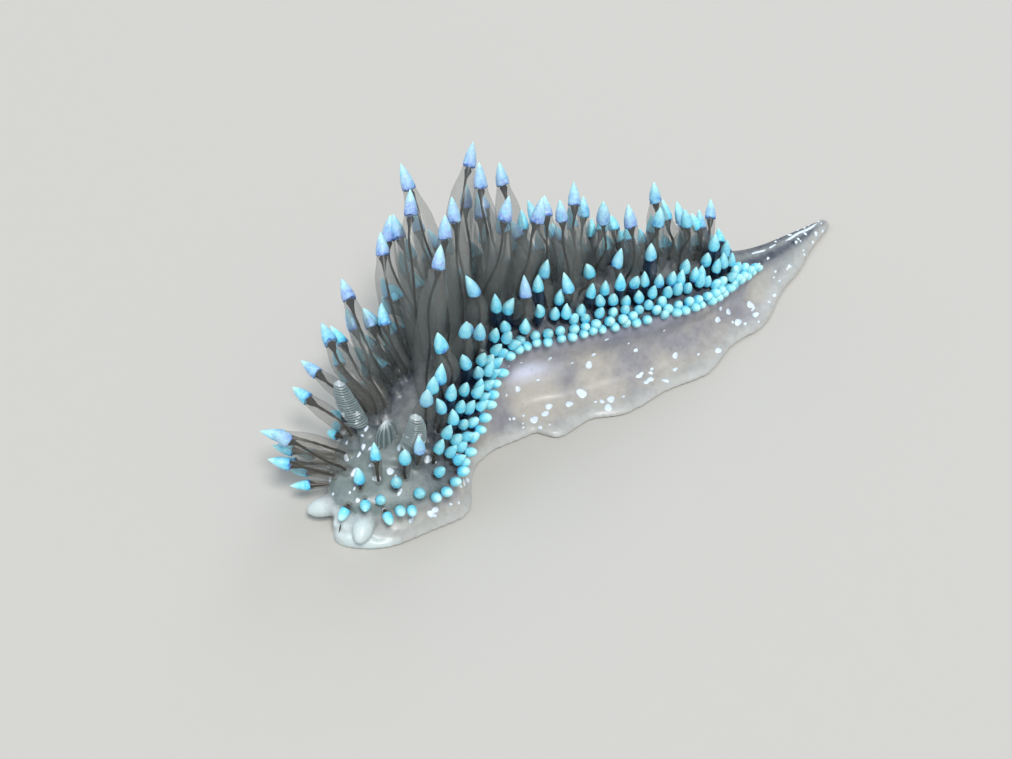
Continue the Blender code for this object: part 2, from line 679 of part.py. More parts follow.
def tentacle_axis(side):
    """(points, radii) of a short, blunt feeler at the side of the mouth, from under the skin to its tip."""
    _, aft, left = spine_frame(TENTACLE_STATION)
    which = 0 if side > 0 else 1
    yaw, dip = math.radians(TENTACLE_YAW[which]), math.radians(TENTACLE_DIP[which])
    outwards = side * left * math.sin(yaw) - aft * math.cos(yaw)
    direction = np.array((*(math.cos(dip) * outwards), -math.sin(dip)))
    root = place(TENTACLE_STATION, side * TENTACLE_LATERAL, TENTACLE_HEIGHT)
    points = [root + share * TENTACLE_LENGTH * direction for share, _ in TENTACLE_SHAPE]
    return points, [radius * TENTACLE_RADIUS for _, radius in TENTACLE_SHAPE]


def oral_tentacle(name, side):
    points, radii = tentacle_axis(side)
    made = tube(name, points[:-1], radii[:-1], 10, points[-1])
    return boolean(made, "DIFFERENCE", [head_cutter()])


def dress(node):
    """Gives a finished node a material of its own."""
    made = bpy.data.materials.new(node.name + "_flesh")
    made.use_nodes = True
    shader = made.node_tree.nodes["Principled BSDF"]
    colour = CREST_FLESH if node.name.startswith(("rhinophore", "caruncle")) else FLESH
    shader.inputs["Base Color"].default_value = (*colour, 1)
    shader.inputs["Roughness"].default_value = ROUGHNESS
    shader.inputs["Metallic"].default_value = 0
    node.data.materials.append(made)


def main():
    for old in list(bpy.data.objects):
        bpy.data.objects.remove(old)
    cerata = all_cerata()
    foot()
    head(cerata)
    trunk(cerata)
    tail()
    for name, side in (("left", 1), ("right", -1)):
        rhinophore("rhinophore_" + name, side)
        oral_tentacle("oral_tentacle_" + name, side)
    caruncle()
    for node in bpy.context.scene.objects:
        dress(node)


main()
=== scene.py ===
"""Looks of the crested sea slug, Antiopella cristata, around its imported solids.

Sizes are in millimetres, as in the part's source, and MM turns them into metres as each mesh is made. The
head points to -X and the animal's left side faces -Y. A station is a distance along the crawling body, from
the front of the head to the tip of the tail.
"""

import math
import random

import bmesh
import bpy
import numpy as np
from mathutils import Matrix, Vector
from mathutils.bvhtree import BVHTree


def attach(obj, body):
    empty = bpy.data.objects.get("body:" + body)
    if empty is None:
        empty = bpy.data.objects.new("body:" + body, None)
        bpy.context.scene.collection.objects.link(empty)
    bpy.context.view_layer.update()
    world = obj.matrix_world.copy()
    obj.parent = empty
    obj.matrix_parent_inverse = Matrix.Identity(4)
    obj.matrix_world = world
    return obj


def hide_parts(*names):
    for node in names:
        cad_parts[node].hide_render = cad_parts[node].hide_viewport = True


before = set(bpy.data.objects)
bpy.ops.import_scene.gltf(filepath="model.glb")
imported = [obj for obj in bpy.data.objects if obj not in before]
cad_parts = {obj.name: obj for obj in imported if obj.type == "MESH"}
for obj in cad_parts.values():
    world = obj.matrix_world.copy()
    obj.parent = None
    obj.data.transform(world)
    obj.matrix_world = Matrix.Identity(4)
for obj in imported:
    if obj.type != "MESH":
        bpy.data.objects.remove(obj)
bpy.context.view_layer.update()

# Camera: the photograph looks down at the animal's left flank from its front
CAMERA_AZIMUTH = -41.6
CAMERA_ELEVATION = 45.0
CAMERA_DISTANCE = 146.7
CAMERA_LENS = 60.0
CAMERA_AIM = (-6.42, 0.55, 0.0)

# Sun lamps: azimuth, elevation, energy, angle and colour
LAMPS = {
    "key": (-25, 60, 2.5, 16, (1.0, 0.98, 0.95)),
    "fill": (-120, 40, 0.6, 50, (0.85, 0.93, 1.0)),
    "rim": (120, 35, 0.7, 30, (0.9, 0.95, 1.0)),
}
SKY = (0.80, 0.88, 1.0, 1)
SKY_STRENGTH = 0.42
FLOOR_HALF = 600
FLOOR_DROP = 0.02  # keeps the floor just under the sole

MM = 0.001
GAP = 0.3  # kept between two pieces that touch
LEAST_GAP = 0.12  # between cerata of different nodes

# Midline on the floor, seen from above, from the front of the head to the tip of the tail
MIDLINE = ((-26.3, 0.6), (-20.0, 2.6), (-13.4, 4.6), (-7.0, 6.1), (-0.5, 4.8), (7.0, 2.3), (14.5, 0.9),
           (22.5, 0.2), (32.2, 0.7))
MIDLINE_SHIFT = (-1.82, -4.85)  # puts the middle of the whole animal's box at the origin
MIDLINE_SAMPLES = 600

# (station, size) pairs that a smooth curve runs through
NOTUM_HALF_LEFT = ((0, 3.8), (4, 4.9), (7, 5.8), (10, 5.4), (14, 4.6), (18, 3.6), (22, 3.3), (27, 4.1),
                   (35, 4.1), (40, 3.9), (45, 2.4), (49, 1.3), (54, 0.9), (60, 0.3))
NOTUM_HALF_RIGHT = ((0, 3.8), (4, 4.3), (7, 4.7), (14, 5.0), (21, 5.1), (30, 4.6), (37, 4.2), (42, 3.4),
                    (46, 2.3), (49, 1.4), (54, 0.9), (60, 0.3))
DORSUM_TOP = ((0, 4.0), (4, 4.4), (9, 5.3), (16, 6.9), (22, 7.6), (30, 7.2), (37, 6.1), (44, 4.4), (50, 2.8),
              (60, 0.8))
FOOT_HALF_LEFT = ((-1, 4.6), (2, 5.2), (7, 6.8), (10, 5.8), (14, 5.1), (19, 7.3), (25, 8.3), (33, 7.9),
                  (41, 6.3), (47, 4.6), (51, 2.9), (55, 1.7), (60, 0.5))
FOOT_HALF_RIGHT = ((-1, 1.5), (2, 2.8), (5, 4.8), (8, 6.2), (14, 7.0), (22, 7.6), (32, 7.4), (41, 5.8),
                   (47, 4.2), (51, 2.8), (55, 1.7), (60, 0.5))
HEAD_FRONT = 0.7
FOOT_FRONT = -0.6
FRONT_ROUND = 6.0  # length over which the head and the foot widen from their fronts
FRONT_STEEPNESS = 0.22  # power of that widening by which the head rises
# Share of its height that the back loses from its middle to its edge
RIM_DROP = ((0, 0.28), (4, 0.38), (8, 0.40), (14, 0.24), (20, 0.15), (60, 0.15))
RIM_POWER = 2.4
FLANK_SPREAD = 1.1
FOOT_SHOW = 0.35  # least width of the foot outside the flank
FOOT_TOP = 1.0
FOOT_EDGE = 0.6  # thickness of the foot at its margin
WAVE_HEIGHT = 0.35
WAVE_LENGTH = 7.5

# Stations where one node of the body ends and the next starts
HEAD_END = 10.0
NODE_ENDS = (HEAD_END, 22.5, 35.5, 48.0)

# Rows of cerata, from the small ones at the notum's edge to the tall ones beside the back's bare middle. A row
# has its inset from the edge and what is added to that at the very front of the head, its spacing, the radius
# of its cerata, its first and last station, then for left and right the length, the degrees of rise and the
# lean towards the tail, and last the degrees by which it leans back at the head's front and the share by which
# it is longer there on the right. The fine rows also have the room that they keep from other roots.
ROW_KEYS = ("inset", "front", "spacing", "radius", "first", "last", "length", "rise", "aft", "back", "reach",
            "apart")
ROWS = [dict(zip(ROW_KEYS, row)) for row in (
    (0.2, 0.75, 1.75, 0.50, 0.0, 47.0, (1.4, 1.5), (35, 18), (0.0, 0.0), 0, 1.0),
    (0.9, 0.75, 2.0, 0.60, 0.0, 46.5, (2.3, 2.8), (62, 34), (-0.1, 0.1), 55, 0.5),
    (1.8, 0.75, 2.4, 0.78, 2.0, 46.0, (4.0, 6.2), (80, 44), (-0.2, 0.3), 75, 0.0),
    (2.8, 0.75, 2.8, 1.00, 4.5, 44.5, (6.8, 9.2), (90, 54), (-0.1, 0.4), 75, 0.0),
    (3.9, 0.75, 3.3, 1.28, 11.5, 41.0, (12.4, 12.6), (97, 66), (0.4, 0.45), 75, 0.0),
)]
LENGTH_SHARE = ((0, 1.3), (5, 1.25), (10, 1.1), (16, 1.15), (21, 1.08), (27, 0.82), (36, 0.70), (47, 0.55))
# Where cerata lean towards the tail
AFT_SHARE = ((0, 0.0), (8, 0.8), (18, 1.0), (26, 0.1), (40, 0.2), (47, 0.8))
# How far from the head's front the degrees of "back", by which a row leans back, die out on the left and right
FRONT_FADE = (2.6, 1.6)
# Share of a row's "reach" by which its right side is longer
RIGHT_REACH = ((0, 0.3), (1, 1.0), (4, 1.0), (7, 0))
# Degrees that the right side's cerata lie further out
RIGHT_SPLAY = ((0, 0), (3, 16), (9, 16), (14, 0))
STEEPEST = 125
YAW_SPREAD = 9
RISE_SPREAD = 5
LENGTH_SPREAD = 0.10
ROOT_CLEARANCE = 0.45  # between a root and the end of its node
SEED = 11

# Outline of a ceras from its root to its tip, as shares of its length and radius
CERAS_SHAPE = ((0.0, 0.62), (0.2, 0.80), (0.45, 1.0), (0.68, 0.92), (0.84, 0.66), (1.0, 0.0))
SHORT_SHAPE = ((0.0, 0.80), (0.45, 1.0), (0.78, 0.72), (1.0, 0.0))
SHORT_LENGTH = 4.6  # cerata under this length take the short shape

AXIS_POINTS = 10
RELAX_SWEEPS = 160
ROOT_GIVE = 0.25  # how freely the first point above a root moves
STRAIGHTEN = 0.3
RETURN = 0.02

RHINOPHORE_STATION = 6.9
RHINOPHORE_LATERAL = 1.7
RHINOPHORE_LENGTH = 6.5
RHINOPHORE_RADIUS = 0.95
RHINOPHORE_STALK = 0.5
RHINOPHORE_LEAN = 17
RHINOPHORE_FORWARD = 8
LAMELLA_DEPTH = 0.16
CARUNCLE_SIZE = (1.2, 0.62, 2.6)  # half length, half width and height of the crest between the rhinophores
CARUNCLE_FOLDS = 5

TENTACLE_STATION = 1.75
TENTACLE_LATERAL = 1.35
TENTACLE_HEIGHT = 2.05
TENTACLE_LENGTH = 2.7
TENTACLE_RADIUS = 0.88
TENTACLE_YAW = (20, 50)  # degrees outwards from straight ahead, left and right
TENTACLE_DIP = (8, 15)  # degrees downwards
TENTACLE_SHAPE = ((-0.3, 0.9), (0.1, 1.0), (0.45, 1.0), (0.75, 0.92), (0.92, 0.62), (1.0, 0.0))

# The scene keeps the solids' longer cerata, and these finer rows take the place of the short ones
LONG_LENGTH = 5.2
FINE_ROWS = [dict(zip(ROW_KEYS, row)) for row in (
    (0.12, 0.15, 1.0, 0.36, 0.0, 48.0, (1.15, 1.2), (26, 12), (0.0, 0.0), -50, 1.6, 0.85),
    (0.66, 0.25, 1.12, 0.38, 0.0, 47.5, (1.75, 2.0), (46, 24), (0.0, 0.0), -18, 0.9, 0.58),
    (1.2, 0.5, 1.22, 0.42, 0.0, 47.0, (2.5, 3.3), (62, 34), (-0.1, 0.1), 40, 0.3, 0.60),
    (1.8, 0.75, 1.35, 0.46, 1.0, 46.5, (3.4, 4.8), (74, 41), (-0.1, 0.2), 70, 0.0, 0.60),
    (2.45, 0.75, 1.35, 0.55, 3.0, 46.0, (4.7, 6.8), (83, 48), (-0.15, 0.35), 75, 0.0, 0.62),
    (2.8, 0.75, 1.5, 0.60, 9.0, 45.0, (6.4, 8.0), (86, 52), (-0.1, 0.35), 75, 0.0, 0.60),
    (3.2, 0.75, 1.6, 0.72, 6.0, 44.0, (7.2, 9.4), (90, 56), (0.0, 0.4), 75, 0.0, 0.80),
    (3.7, 0.75, 2.3, 0.92, 11.0, 41.0, (10.6, 11.2), (95, 62), (0.3, 0.4), 75, 0.0, 1.25),
)]
FINE_SEED = 40
FINE_SPREAD = (0.78, 1.10)  # shares of its row's length that a fine ceras may have
FINE_RIGHT_START = 2.3  # the right feeler shows in front of this station
FINE_HEAD_APART = ((0, 1.3), (6, 1.9), (9, 1.0), (60, 1.0))  # how much sparser the fine rows are on the head
FINE_ROOM = 0.12
ROOT_SHARE = 0.45  # share of its radius that a root takes up between the others

# Cerata: sizes by a ceras's length, and its outline
CAP_LENGTH = ((0, 0.84), (1.3, 0.86), (1.7, 1.15), (2.4, 1.38), (3.5, 1.5), (6, 1.65), (10, 1.9), (18, 2.05))
CAP_RADIUS = ((0, 0.40), (1.3, 0.41), (1.8, 0.44), (3.2, 0.46), (6, 0.51), (10, 0.55), (18, 0.58))
CAP_RINGS = (1.03, 1.045, 1.0, 0.93, 0.80, 0.66, 0.50, 0.36, 0.23, 0.12, 0.04, 0.0)  # shares down from its tip
CAP_EDGE = (0.82, 0.96)  # shares of their radius that its two lowest rings keep
CAP_RAGGED = 0.07  # how far its lower edge waves up and down, as a share of its length
CAP_RAGGED_LENGTH = 2.2  # the caps of shorter cerata have an even edge
FLESH_SHAPE = ((0.0, 0.72), (0.2, 0.86), (0.48, 1.0), (0.75, 0.94), (1.0, 0.8))
FLESH_IN_CAP = 0.90
FLESH_TOP = (0.8, 0.55, 0.3, 0.15)  # shares of the cap's length at which the flesh has rings inside it
NECK_LENGTH = ((0, 0.3), (3, 0.8), (8, 2.2), (18, 3.2))
LONG_SLIMMER = 0.92
GLAND_RADIUS = ((0, 0.16), (3, 0.14), (6, 0.12), (12, 0.105), (18, 0.10))
GLAND_CUP = 0.72  # share of the cap's radius that the gland swells to under the cap
CUP_DEPTH = ((0, 0.5), (3, 1.2), (8, 1.5), (18, 1.5))
GLAND_WANDER = 0.20
SKIN_SIDES = 14
GLAND_SIDES = 7
CAP_SIDES = 16
CURVE_STEPS = 120
CERAS_SEED = 5
FULL_RINGS_LENGTH = 5  # longer cerata have more rings
BEAD_LENGTH = 1.6  # shorter cerata have a round bead instead of a pointed cap
STRAIGHT_LENGTH = 2.4  # shorter cerata don't bend

# Body skin
BODY_STEP = 0.35
BODY_RING = 96
BODY_VOXEL = 0.17
BODY_SMOOTHING = 6
RING_BEND = 0.75  # how round the body's rings run through their points

# Head
MOUTH_STATION = 0.45
MOUTH_HEIGHT = 1.5
MOUTH_HALF = 0.35
LIP_APART = 0.42
LIP_SIZE = (0.66, 0.46, 0.60)
VEIL_STATION = 1.3  # the fold over the mouth that joins the two feelers
VEIL_HEIGHT = 2.15
VEIL_SIZE = (1.0, 2.0, 0.75)
RIDGE_SIZE = (1.9, 2.5, 0.85)
FEELER_TAPER = (1.20, 1.12, 1.0, 0.88, 0.72)
COLLAR_RADII = (1.15, 0.95, 0.72, 0.62)
# Where a long ceras leaves the skin: distances along it and radii, both as shares of its width there
STUB = ((-0.9, 1.2), (0.1, 1.05), (0.5, 0.8), (1.1, 0))
STUB_SIDES = 12
EYE_BEHIND = 1.4  # from the rhinophores
EYE_LATERAL = 1.5
EYE_RADIUS = 0.10

LEAVES = 19  # lamellae of a rhinophore
LEAVES_START = 0.28
LEAVES_END = 0.955
LEAF_RINGS = (0.02, 0.30, 0.52, 0.66, 0.78)  # shares of the room of one lamella
LEAF_TILT = 0.34
# (share of its length, radius) pairs of a rhinophore's stalk and of its tip
STALK = ((0.02, 0.62), (0.1, 0.52), (0.2, 0.46), (0.26, 0.48))
CLUB_TOP = ((0.965, 0.24), (0.985, 0.17), (1.0, 0))
CLUB_SIDES = 32
CREST_SIDES = 90
CREST_LEVELS = 16
CREST_SINK = 0.3

# Painted highlight: a pale patch high on each flank, where the light's soft reflection would be
HIGHLIGHT_STATION = 23.0
HIGHLIGHT_LENGTH = 2.3
HIGHLIGHT_HEIGHT = 3.4
HIGHLIGHT_TALL = 0.9

# Pigment: where it lies, stations, share of the way across or up, number on a side, half length and stretch
FLECKS = (
    ("margin", (12, 24), (0.72, 0.96), 15, (0.10, 0.44), 1.5),
    ("margin", (24, 37), (0.66, 0.95), 17, (0.12, 0.50), 1.9),
    ("margin", (37, 48), (0.60, 0.95), 13, (0.12, 0.42), 1.6),
    ("margin", (3, 12), (0.82, 0.96), 15, (0.10, 0.34), 1.8),
    ("flank", (15, 47), (0.15, 0.95), 20, (0.10, 0.36), 2.6),
    ("tail", (47, 59), (0.2, 0.9), 19, (0.11, 0.24), 1.7),
    ("head", (1.5, 8), (0.0, 0.9), 15, (0.11, 0.40), 2.6),
)
FLECK_SEED = 77
FLECK_SIDES = 14
FLECK_LIFT = 0.05
FLECK_TURN = 0.35
EYE_LIFT = 0.03
TAIL_LINES = ((48.6, 50.4, 0.13), (50.9, 52.0, 0.10), (53.3, 58.4, 0.15))  # first and last station, half width
LINE_LIFT = 0.07
LINE_STEP = 0.2
DROP = 14  # height from which rays look for the skin

# Colours, linear
FLANK = (0.47, 0.44, 0.385)
FLANK_DARK = (0.27, 0.265, 0.29)
LILAC = (0.20, 0.21, 0.30)
# painted highlight: the pale lilac-white patch high on each flank
PAINTED_HIGHLIGHT = (0.78, 0.82, 1.0)
TAIL = (0.33, 0.38, 0.39)
# painted shade: the back's skin among the cerata's roots, dark navy where shade falls between them
SHADE_AMONG_CERATA = (0.022, 0.035, 0.060)
BACK_BARE = (0.13, 0.15, 0.15)
FOOT_PALE = (0.45, 0.46, 0.44)
HEAD_PALE = (0.42, 0.44, 0.39)
HEAD_TOP = (0.17, 0.23, 0.22)
FEELER_PALE = (0.60, 0.70, 0.70)
MOTTLE = (0.85, 0.87, 0.88)
GRAIN = (0.12, 0.12, 0.12)
CERAS_LOW = (0.135, 0.15, 0.145)
CERAS_HIGH = (0.25, 0.265, 0.25)
CERAS_WARM = (0.23, 0.21, 0.175)
CERAS_SPECK = (0.4, 0.5, 0.55)
CERAS_ALPHA = 0.27
SHORT_LOW = (0.012, 0.025, 0.055)
SHORT_HIGH = (0.02, 0.055, 0.12)
SHORT_ALPHA = 0.5
GLAND = (0.003, 0.003, 0.004)
GLAND_PALE = (0.02, 0.014, 0.011)
CAP_SKY = (0.13, 0.72, 0.95)
CAP_LILAC = (0.30, 0.45, 0.80)
# deep blue at a cap's lower edge: partly its own colour, partly painted shade
CAP_DEEP_BLUE_AND_SHADE = (0.04, 0.14, 0.58)
CAP_TIP = (0.58, 1.0, 1.0)
CAP_PATCH = (0.10, 0.66, 0.80)
CAP_GRAIN = (0.90, 1.0, 1.0)
PIGMENT = (0.86, 0.93, 0.98)
PIGMENT_DIM = (0.66, 0.80, 0.92)
CLUB_LOW = (0.20, 0.26, 0.27)
CLUB_DARK = (0.12, 0.17, 0.18)
CLUB_EDGE = (0.30, 0.37, 0.37)
CLUB_TIP = (0.60, 0.68, 0.70)
CLUB_ALPHA = 0.88
TISSUE = (0.02, 0.017, 0.017)
TISSUE_PALE = (0.05, 0.04, 0.035)
DEPTH_SHARES = (1.0, 0.8, 0.65)  # how deep red, green and blue light go into flesh
FLOOR = (0.54, 0.525, 0.49)
FLOOR_GRAIN = (0.5, 0.48, 0.44)


# Curves and profiles


def smooth_curve(points, count):
    """(count points evenly spaced along a smooth curve through the given points, its length)."""
    given = np.array(points, float)
    ends = 2 * given[[0, -1]] - given[[1, -2]]
    p = np.vstack([ends[:1], given, ends[1:]])
    t = np.linspace(0, 1, 40, endpoint=False)[:, None]
    runs = []
    for a, b, c, d in zip(p[:-3], p[1:-2], p[2:-1], p[3:]):
        square, cube = 2 * a - 5 * b + 4 * c - d, 3 * b - a - 3 * c + d
        runs.append(b + 0.5 * ((c - a) * t + square * t**2 + cube * t**3))
    dense = np.vstack([*runs, given[-1:]])
    reach = np.concatenate([[0], np.cumsum(np.linalg.norm(np.diff(dense, axis=0), axis=1))])
    at = np.linspace(0, reach[-1], count)
    return np.stack([np.interp(at, reach, dense[:, k]) for k in range(dense.shape[1])], axis=1), reach[-1]


SPINE, BODY_LENGTH = smooth_curve(np.array(MIDLINE) + MIDLINE_SHIFT, MIDLINE_SAMPLES)


def spine_frame(station):
    """Midline point at a station, and unit vectors there towards the tail and towards the animal's left."""
    at = station / BODY_LENGTH * (MIDLINE_SAMPLES - 1)
    i = int(min(max(at, 0), MIDLINE_SAMPLES - 2))
    run = SPINE[i + 1] - SPINE[i]
    aft = run / np.linalg.norm(run)
    return SPINE[i] + (at - i) * run, aft, np.array((aft[1], -aft[0]))


def place(station, lateral, height):
    """A point of space from its station, its distance to the animal's left of the midline and its height."""
    point, _, left = spine_frame(station)
    return np.array((*(point + lateral * left), height))


def along(knots, station):
    """The value at a station of a smooth curve, with no overshoot, through (station, value) knots."""
    x, y = np.array(knots, float).T
    slope = np.diff(y) / np.diff(x)
    turn = slope[:-1] * slope[1:]
    inner = np.where(turn > 0, 2 * turn / np.where(turn > 0, slope[:-1] + slope[1:], 1), 0)
    tangent = np.concatenate([slope[:1], inner, slope[-1:]])
    s = min(max(station, x[0]), x[-1])
    i = int(min(np.searchsorted(x, s, side="right") - 1, len(x) - 2))
    width = x[i + 1] - x[i]
    t = (s - x[i]) / width
    start = (1 + 2 * t) * (1 - t) ** 2 * y[i] + t * (1 - t) ** 2 * width * tangent[i]
    return float(start + t * t * (3 - 2 * t) * y[i + 1] - t * t * (1 - t) * width * tangent[i + 1])


def front_round(station, front):
    """From 0 at a front to 1 where the body has its full width, along a quarter circle."""
    ahead = min(max((station - front) / FRONT_ROUND, 0), 1)
    return math.sqrt(1 - (1 - ahead) ** 2)


# The body's cross-sections


def notum_half(station, side):
    """Half width of the back on the left (side 1) or right (side -1)."""
    knots = NOTUM_HALF_LEFT if side > 0 else NOTUM_HALF_RIGHT
    return along(knots, station) * front_round(station, HEAD_FRONT)


def dorsum_height(station, lateral):
    """Height of the back over the floor, highest at the middle."""
    low = FOOT_TOP + GAP
    top = low + (along(DORSUM_TOP, station) - low) * front_round(station, HEAD_FRONT) ** FRONT_STEEPNESS
    share = min(1, abs(lateral) / max(notum_half(station, lateral), 1e-6))
    return top * (1 - along(RIM_DROP, station) * share**RIM_POWER)


def foot_half(station, side):
    """Half width of the foot on one side, with its gently waved margin."""
    knots = FOOT_HALF_LEFT if side > 0 else FOOT_HALF_RIGHT
    width = along(knots, station)
    wave = WAVE_HEIGHT * math.sin(2 * math.pi * station / WAVE_LENGTH + side) * min(1, width / 6)
    return (width + wave) * front_round(station, FOOT_FRONT)


def flank(station, side, low):
    """Outline of one side, from the flank's base at a height of low over the edge towards the midline."""
    half = notum_half(station, side)
    rim = dorsum_height(station, side * half)
    base = min(half + FLANK_SPREAD * min(1, half / 3), max(foot_half(station, side) - FOOT_SHOW, 0.9 * half))
    return [(base, low)] + [
        (share * half, low + height * (rim - low)) for share, height in ((0.97, 0.42), (1.0, 0.80))
    ] + [(share * half, dorsum_height(station, side * share * half)) for share in (0.90, 0.52)]


def ring_of(left, right, *middle):
    """A closed ring from the outlines of both sides, which run up to the points between them."""
    return left + list(middle) + [(-lateral, height) for lateral, height in reversed(right)]


def foot_margin(station, side):
    """Outline of the foot on one side, from the sole's middle round the margin to the foot's upper side."""
    wide = foot_half(station, side)
    edge = min(1.0, wide / 2)
    sole, top = max(wide - 0.4 * edge, 0), max(wide - 0.3 * edge, 0)
    return [(sole, 0.0), (wide, 0.45 * FOOT_EDGE), (top, FOOT_EDGE)]


# Layout of the cerata


def notum_edge(side):
    """(stations, points seen from above, unit normals outwards) along the notum's edge on one side."""
    turn = np.linspace(0, math.pi / 2, 60)
    stations = np.concatenate([HEAD_FRONT + FRONT_ROUND * (1 - np.cos(turn)), np.arange(7.0, 49.0, 0.25)])
    points = np.array([place(s, side * notum_half(s, side), 0)[:2] for s in stations])
    run = np.gradient(points, axis=0)
    run /= np.linalg.norm(run, axis=1)[:, None]
    outwards = side * np.stack([run[:, 1], -run[:, 0]], axis=1)
    return stations, points, outwards


def locate(x, y):
    """(station, distance to the left of the midline) of a point seen from above."""
    away = np.linalg.norm(SPINE - (x, y), axis=1)
    station = int(away.argmin()) / (MIDLINE_SAMPLES - 1) * BODY_LENGTH
    point, _, left = spine_frame(station)
    return station, float((np.array((x, y)) - point) @ left)


def clear_of_ends(station, radius):
    """A station moved so that a root of this radius there stays inside one node."""
    keep = radius + ROOT_CLEARANCE
    for end in NODE_ENDS:
        if abs(station - end) < keep:
            return end - keep if station < end else end + keep
    return station


def row_of_cerata(row, number, side):
    """The cerata of one row on one side, each with its root, direction, length, radius and station."""
    which = 0 if side > 0 else 1
    dice = random.Random(SEED + 10 * number + which)
    stations, points, outwards = notum_edge(side)
    reach = np.concatenate([[0], np.cumsum(np.linalg.norm(np.diff(points, axis=0), axis=1))])
    made = []
    at = row["spacing"] * dice.uniform(0.2, 0.8)
    while at < reach[-1]:
        here = at + dice.uniform(-0.12, 0.12) * row["spacing"]
        yaw = math.radians(dice.gauss(0, YAW_SPREAD))
        tilt = dice.gauss(0, RISE_SPREAD)
        longer = 1 + dice.uniform(-LENGTH_SPREAD, LENGTH_SPREAD)
        at += row["spacing"]
        edge = np.array([np.interp(here, reach, points[:, k]) for k in (0, 1)])
        out = np.array([np.interp(here, reach, outwards[:, k]) for k in (0, 1)])
        station = float(np.interp(here, reach, stations))
        if not row["first"] <= station <= row["last"]:
            continue
        narrow = min(1, notum_half(max(station, 7), side) / 5.0)
        front = math.exp(-((station / FRONT_FADE[which]) ** 2))
        inset = row["inset"] * narrow + row["front"] * front
        root_station, lateral = locate(*(edge - inset * out))
        if row in ROWS:
            root_station = clear_of_ends(root_station, 0.8 * row["radius"])
        share = along(LENGTH_SHARE, station)
        splay = along(RIGHT_SPLAY, station) if side < 0 else 0
        further = row["reach"] * along(RIGHT_REACH, station) if side < 0 and station < 7 else 0
        rise = row["rise"][which] - splay + tilt + row["back"] * front
        rise = math.radians(min(rise, STEEPEST))
        turned = np.array((math.cos(yaw) * out[0] - math.sin(yaw) * out[1],
                           math.sin(yaw) * out[0] + math.cos(yaw) * out[1]))
        lean = row["aft"][which] * along(AFT_SHARE, station) * spine_frame(station)[1]
        direction = np.array((*(turned * math.cos(rise) + lean), math.sin(rise)))
        made.append({
            "root": place(root_station, lateral, dorsum_height(root_station, lateral)),
            "direction": direction / np.linalg.norm(direction),
            "length": row["length"][which] * share * longer * (1 + further),
            "radius": row["radius"] * (0.55 + 0.45 * min(share, 1)),
            "station": root_station,
        })
    return made


def shape_of(ceras):
    return SHORT_SHAPE if ceras["length"] < SHORT_LENGTH else CERAS_SHAPE


def blockers():
    """(points, radii) along the feelers and the crest, which no ceras may touch."""
    found = []
    for side in (1, -1):
        found += zip(*rhinophore_axis(side))
        found += zip(*tentacle_axis(side))
    base = place(RHINOPHORE_STATION, 0, dorsum_height(RHINOPHORE_STATION, 0))
    for share in (0.2, 0.5, 0.8):
        found.append((base + (0, 0, share * CARUNCLE_SIZE[2]), CARUNCLE_SIZE[0]))
    return np.array([p for p, _ in found]), np.array([r for _, r in found])


def body_top(x, y):
    """Height of the body under a point seen from above."""
    station, lateral = locate(x, y)
    if abs(lateral) <= notum_half(station, lateral):
        return dorsum_height(station, lateral)
    return FOOT_TOP


def body_tops(points):
    """Heights of the body under many points, from a table over the animal's whole length."""
    cells = np.floor((points[..., :2] - TOPS_START) / TOPS_STEP).astype(int)
    cells = np.clip(cells, 0, np.array(TOPS.shape) - 1)
    return TOPS[cells[..., 0], cells[..., 1]]


def bend_apart(cerata, settled=(), room=GAP * 1.3):
    """Gives each ceras an axis that clears its neighbours', as the soft real ones lean on one another."""
    steps = np.linspace(0, 1, AXIS_POINTS)
    rest = np.array([c["root"] + np.outer(steps * c["length"], c["direction"]) for c in cerata])
    radii = np.array([c["radius"] * np.interp(steps, *np.array(shape_of(c)).T) for c in cerata])
    radii[:, -1] = 0.3 * radii[:, -2]
    give = np.ones(AXIS_POINTS)
    give[:2] = (0, ROOT_GIVE)
    still, still_radii = blockers()
    for c in settled:
        still = np.vstack([still, c["axis"]])
        still_radii = np.concatenate([still_radii, c["radius"] * np.interp(steps, *np.array(shape_of(c)).T)])
    owner = np.concatenate([np.repeat(np.arange(len(cerata)), AXIS_POINTS), np.full(len(still), -1)])
    size = np.concatenate([radii.ravel(), still_radii])
    free = np.concatenate([np.tile(give, len(cerata)), np.zeros(len(still))])
    link = np.array([c["length"] for c in cerata]) / (AXIS_POINTS - 1)
    axes = rest.copy()
    for sweep in range(RELAX_SWEEPS):
        points = np.vstack([axes.reshape(-1, 3), still])
        if sweep % 10 == 0:
            a, b = near_pairs(points, size, owner)
        along_pair = points[a] - points[b]
        distance = np.maximum(np.linalg.norm(along_pair, axis=1), 1e-6)
        lack = np.maximum(0, size[a] + size[b] + room - distance)
        push = along_pair * (0.5 * lack / distance)[:, None]
        shift = np.stack([np.bincount(a, push[:, k], len(points)) - np.bincount(b, push[:, k], len(points))
                          for k in range(3)], axis=1)
        axes = axes + (shift * free[:, None])[: axes.size // 3].reshape(axes.shape)
        middle = (axes[:, :-2] + axes[:, 2:]) / 2
        axes[:, 1:-1] += STRAIGHTEN * (middle - axes[:, 1:-1]) * give[None, 1:-1, None]
        axes += RETURN * (rest - axes)
        axes[:, 2:, 2] = np.maximum(axes[:, 2:, 2], body_tops(axes[:, 2:]) + GAP + radii[:, 2:])
        for k in range(1, AXIS_POINTS):
            run = axes[:, k] - axes[:, k - 1]
            axes[:, k] = axes[:, k - 1] + run * (link / np.linalg.norm(run, axis=1))[:, None]
    for ceras, axis in zip(cerata, axes):
        ceras["axis"] = axis
    return cerata


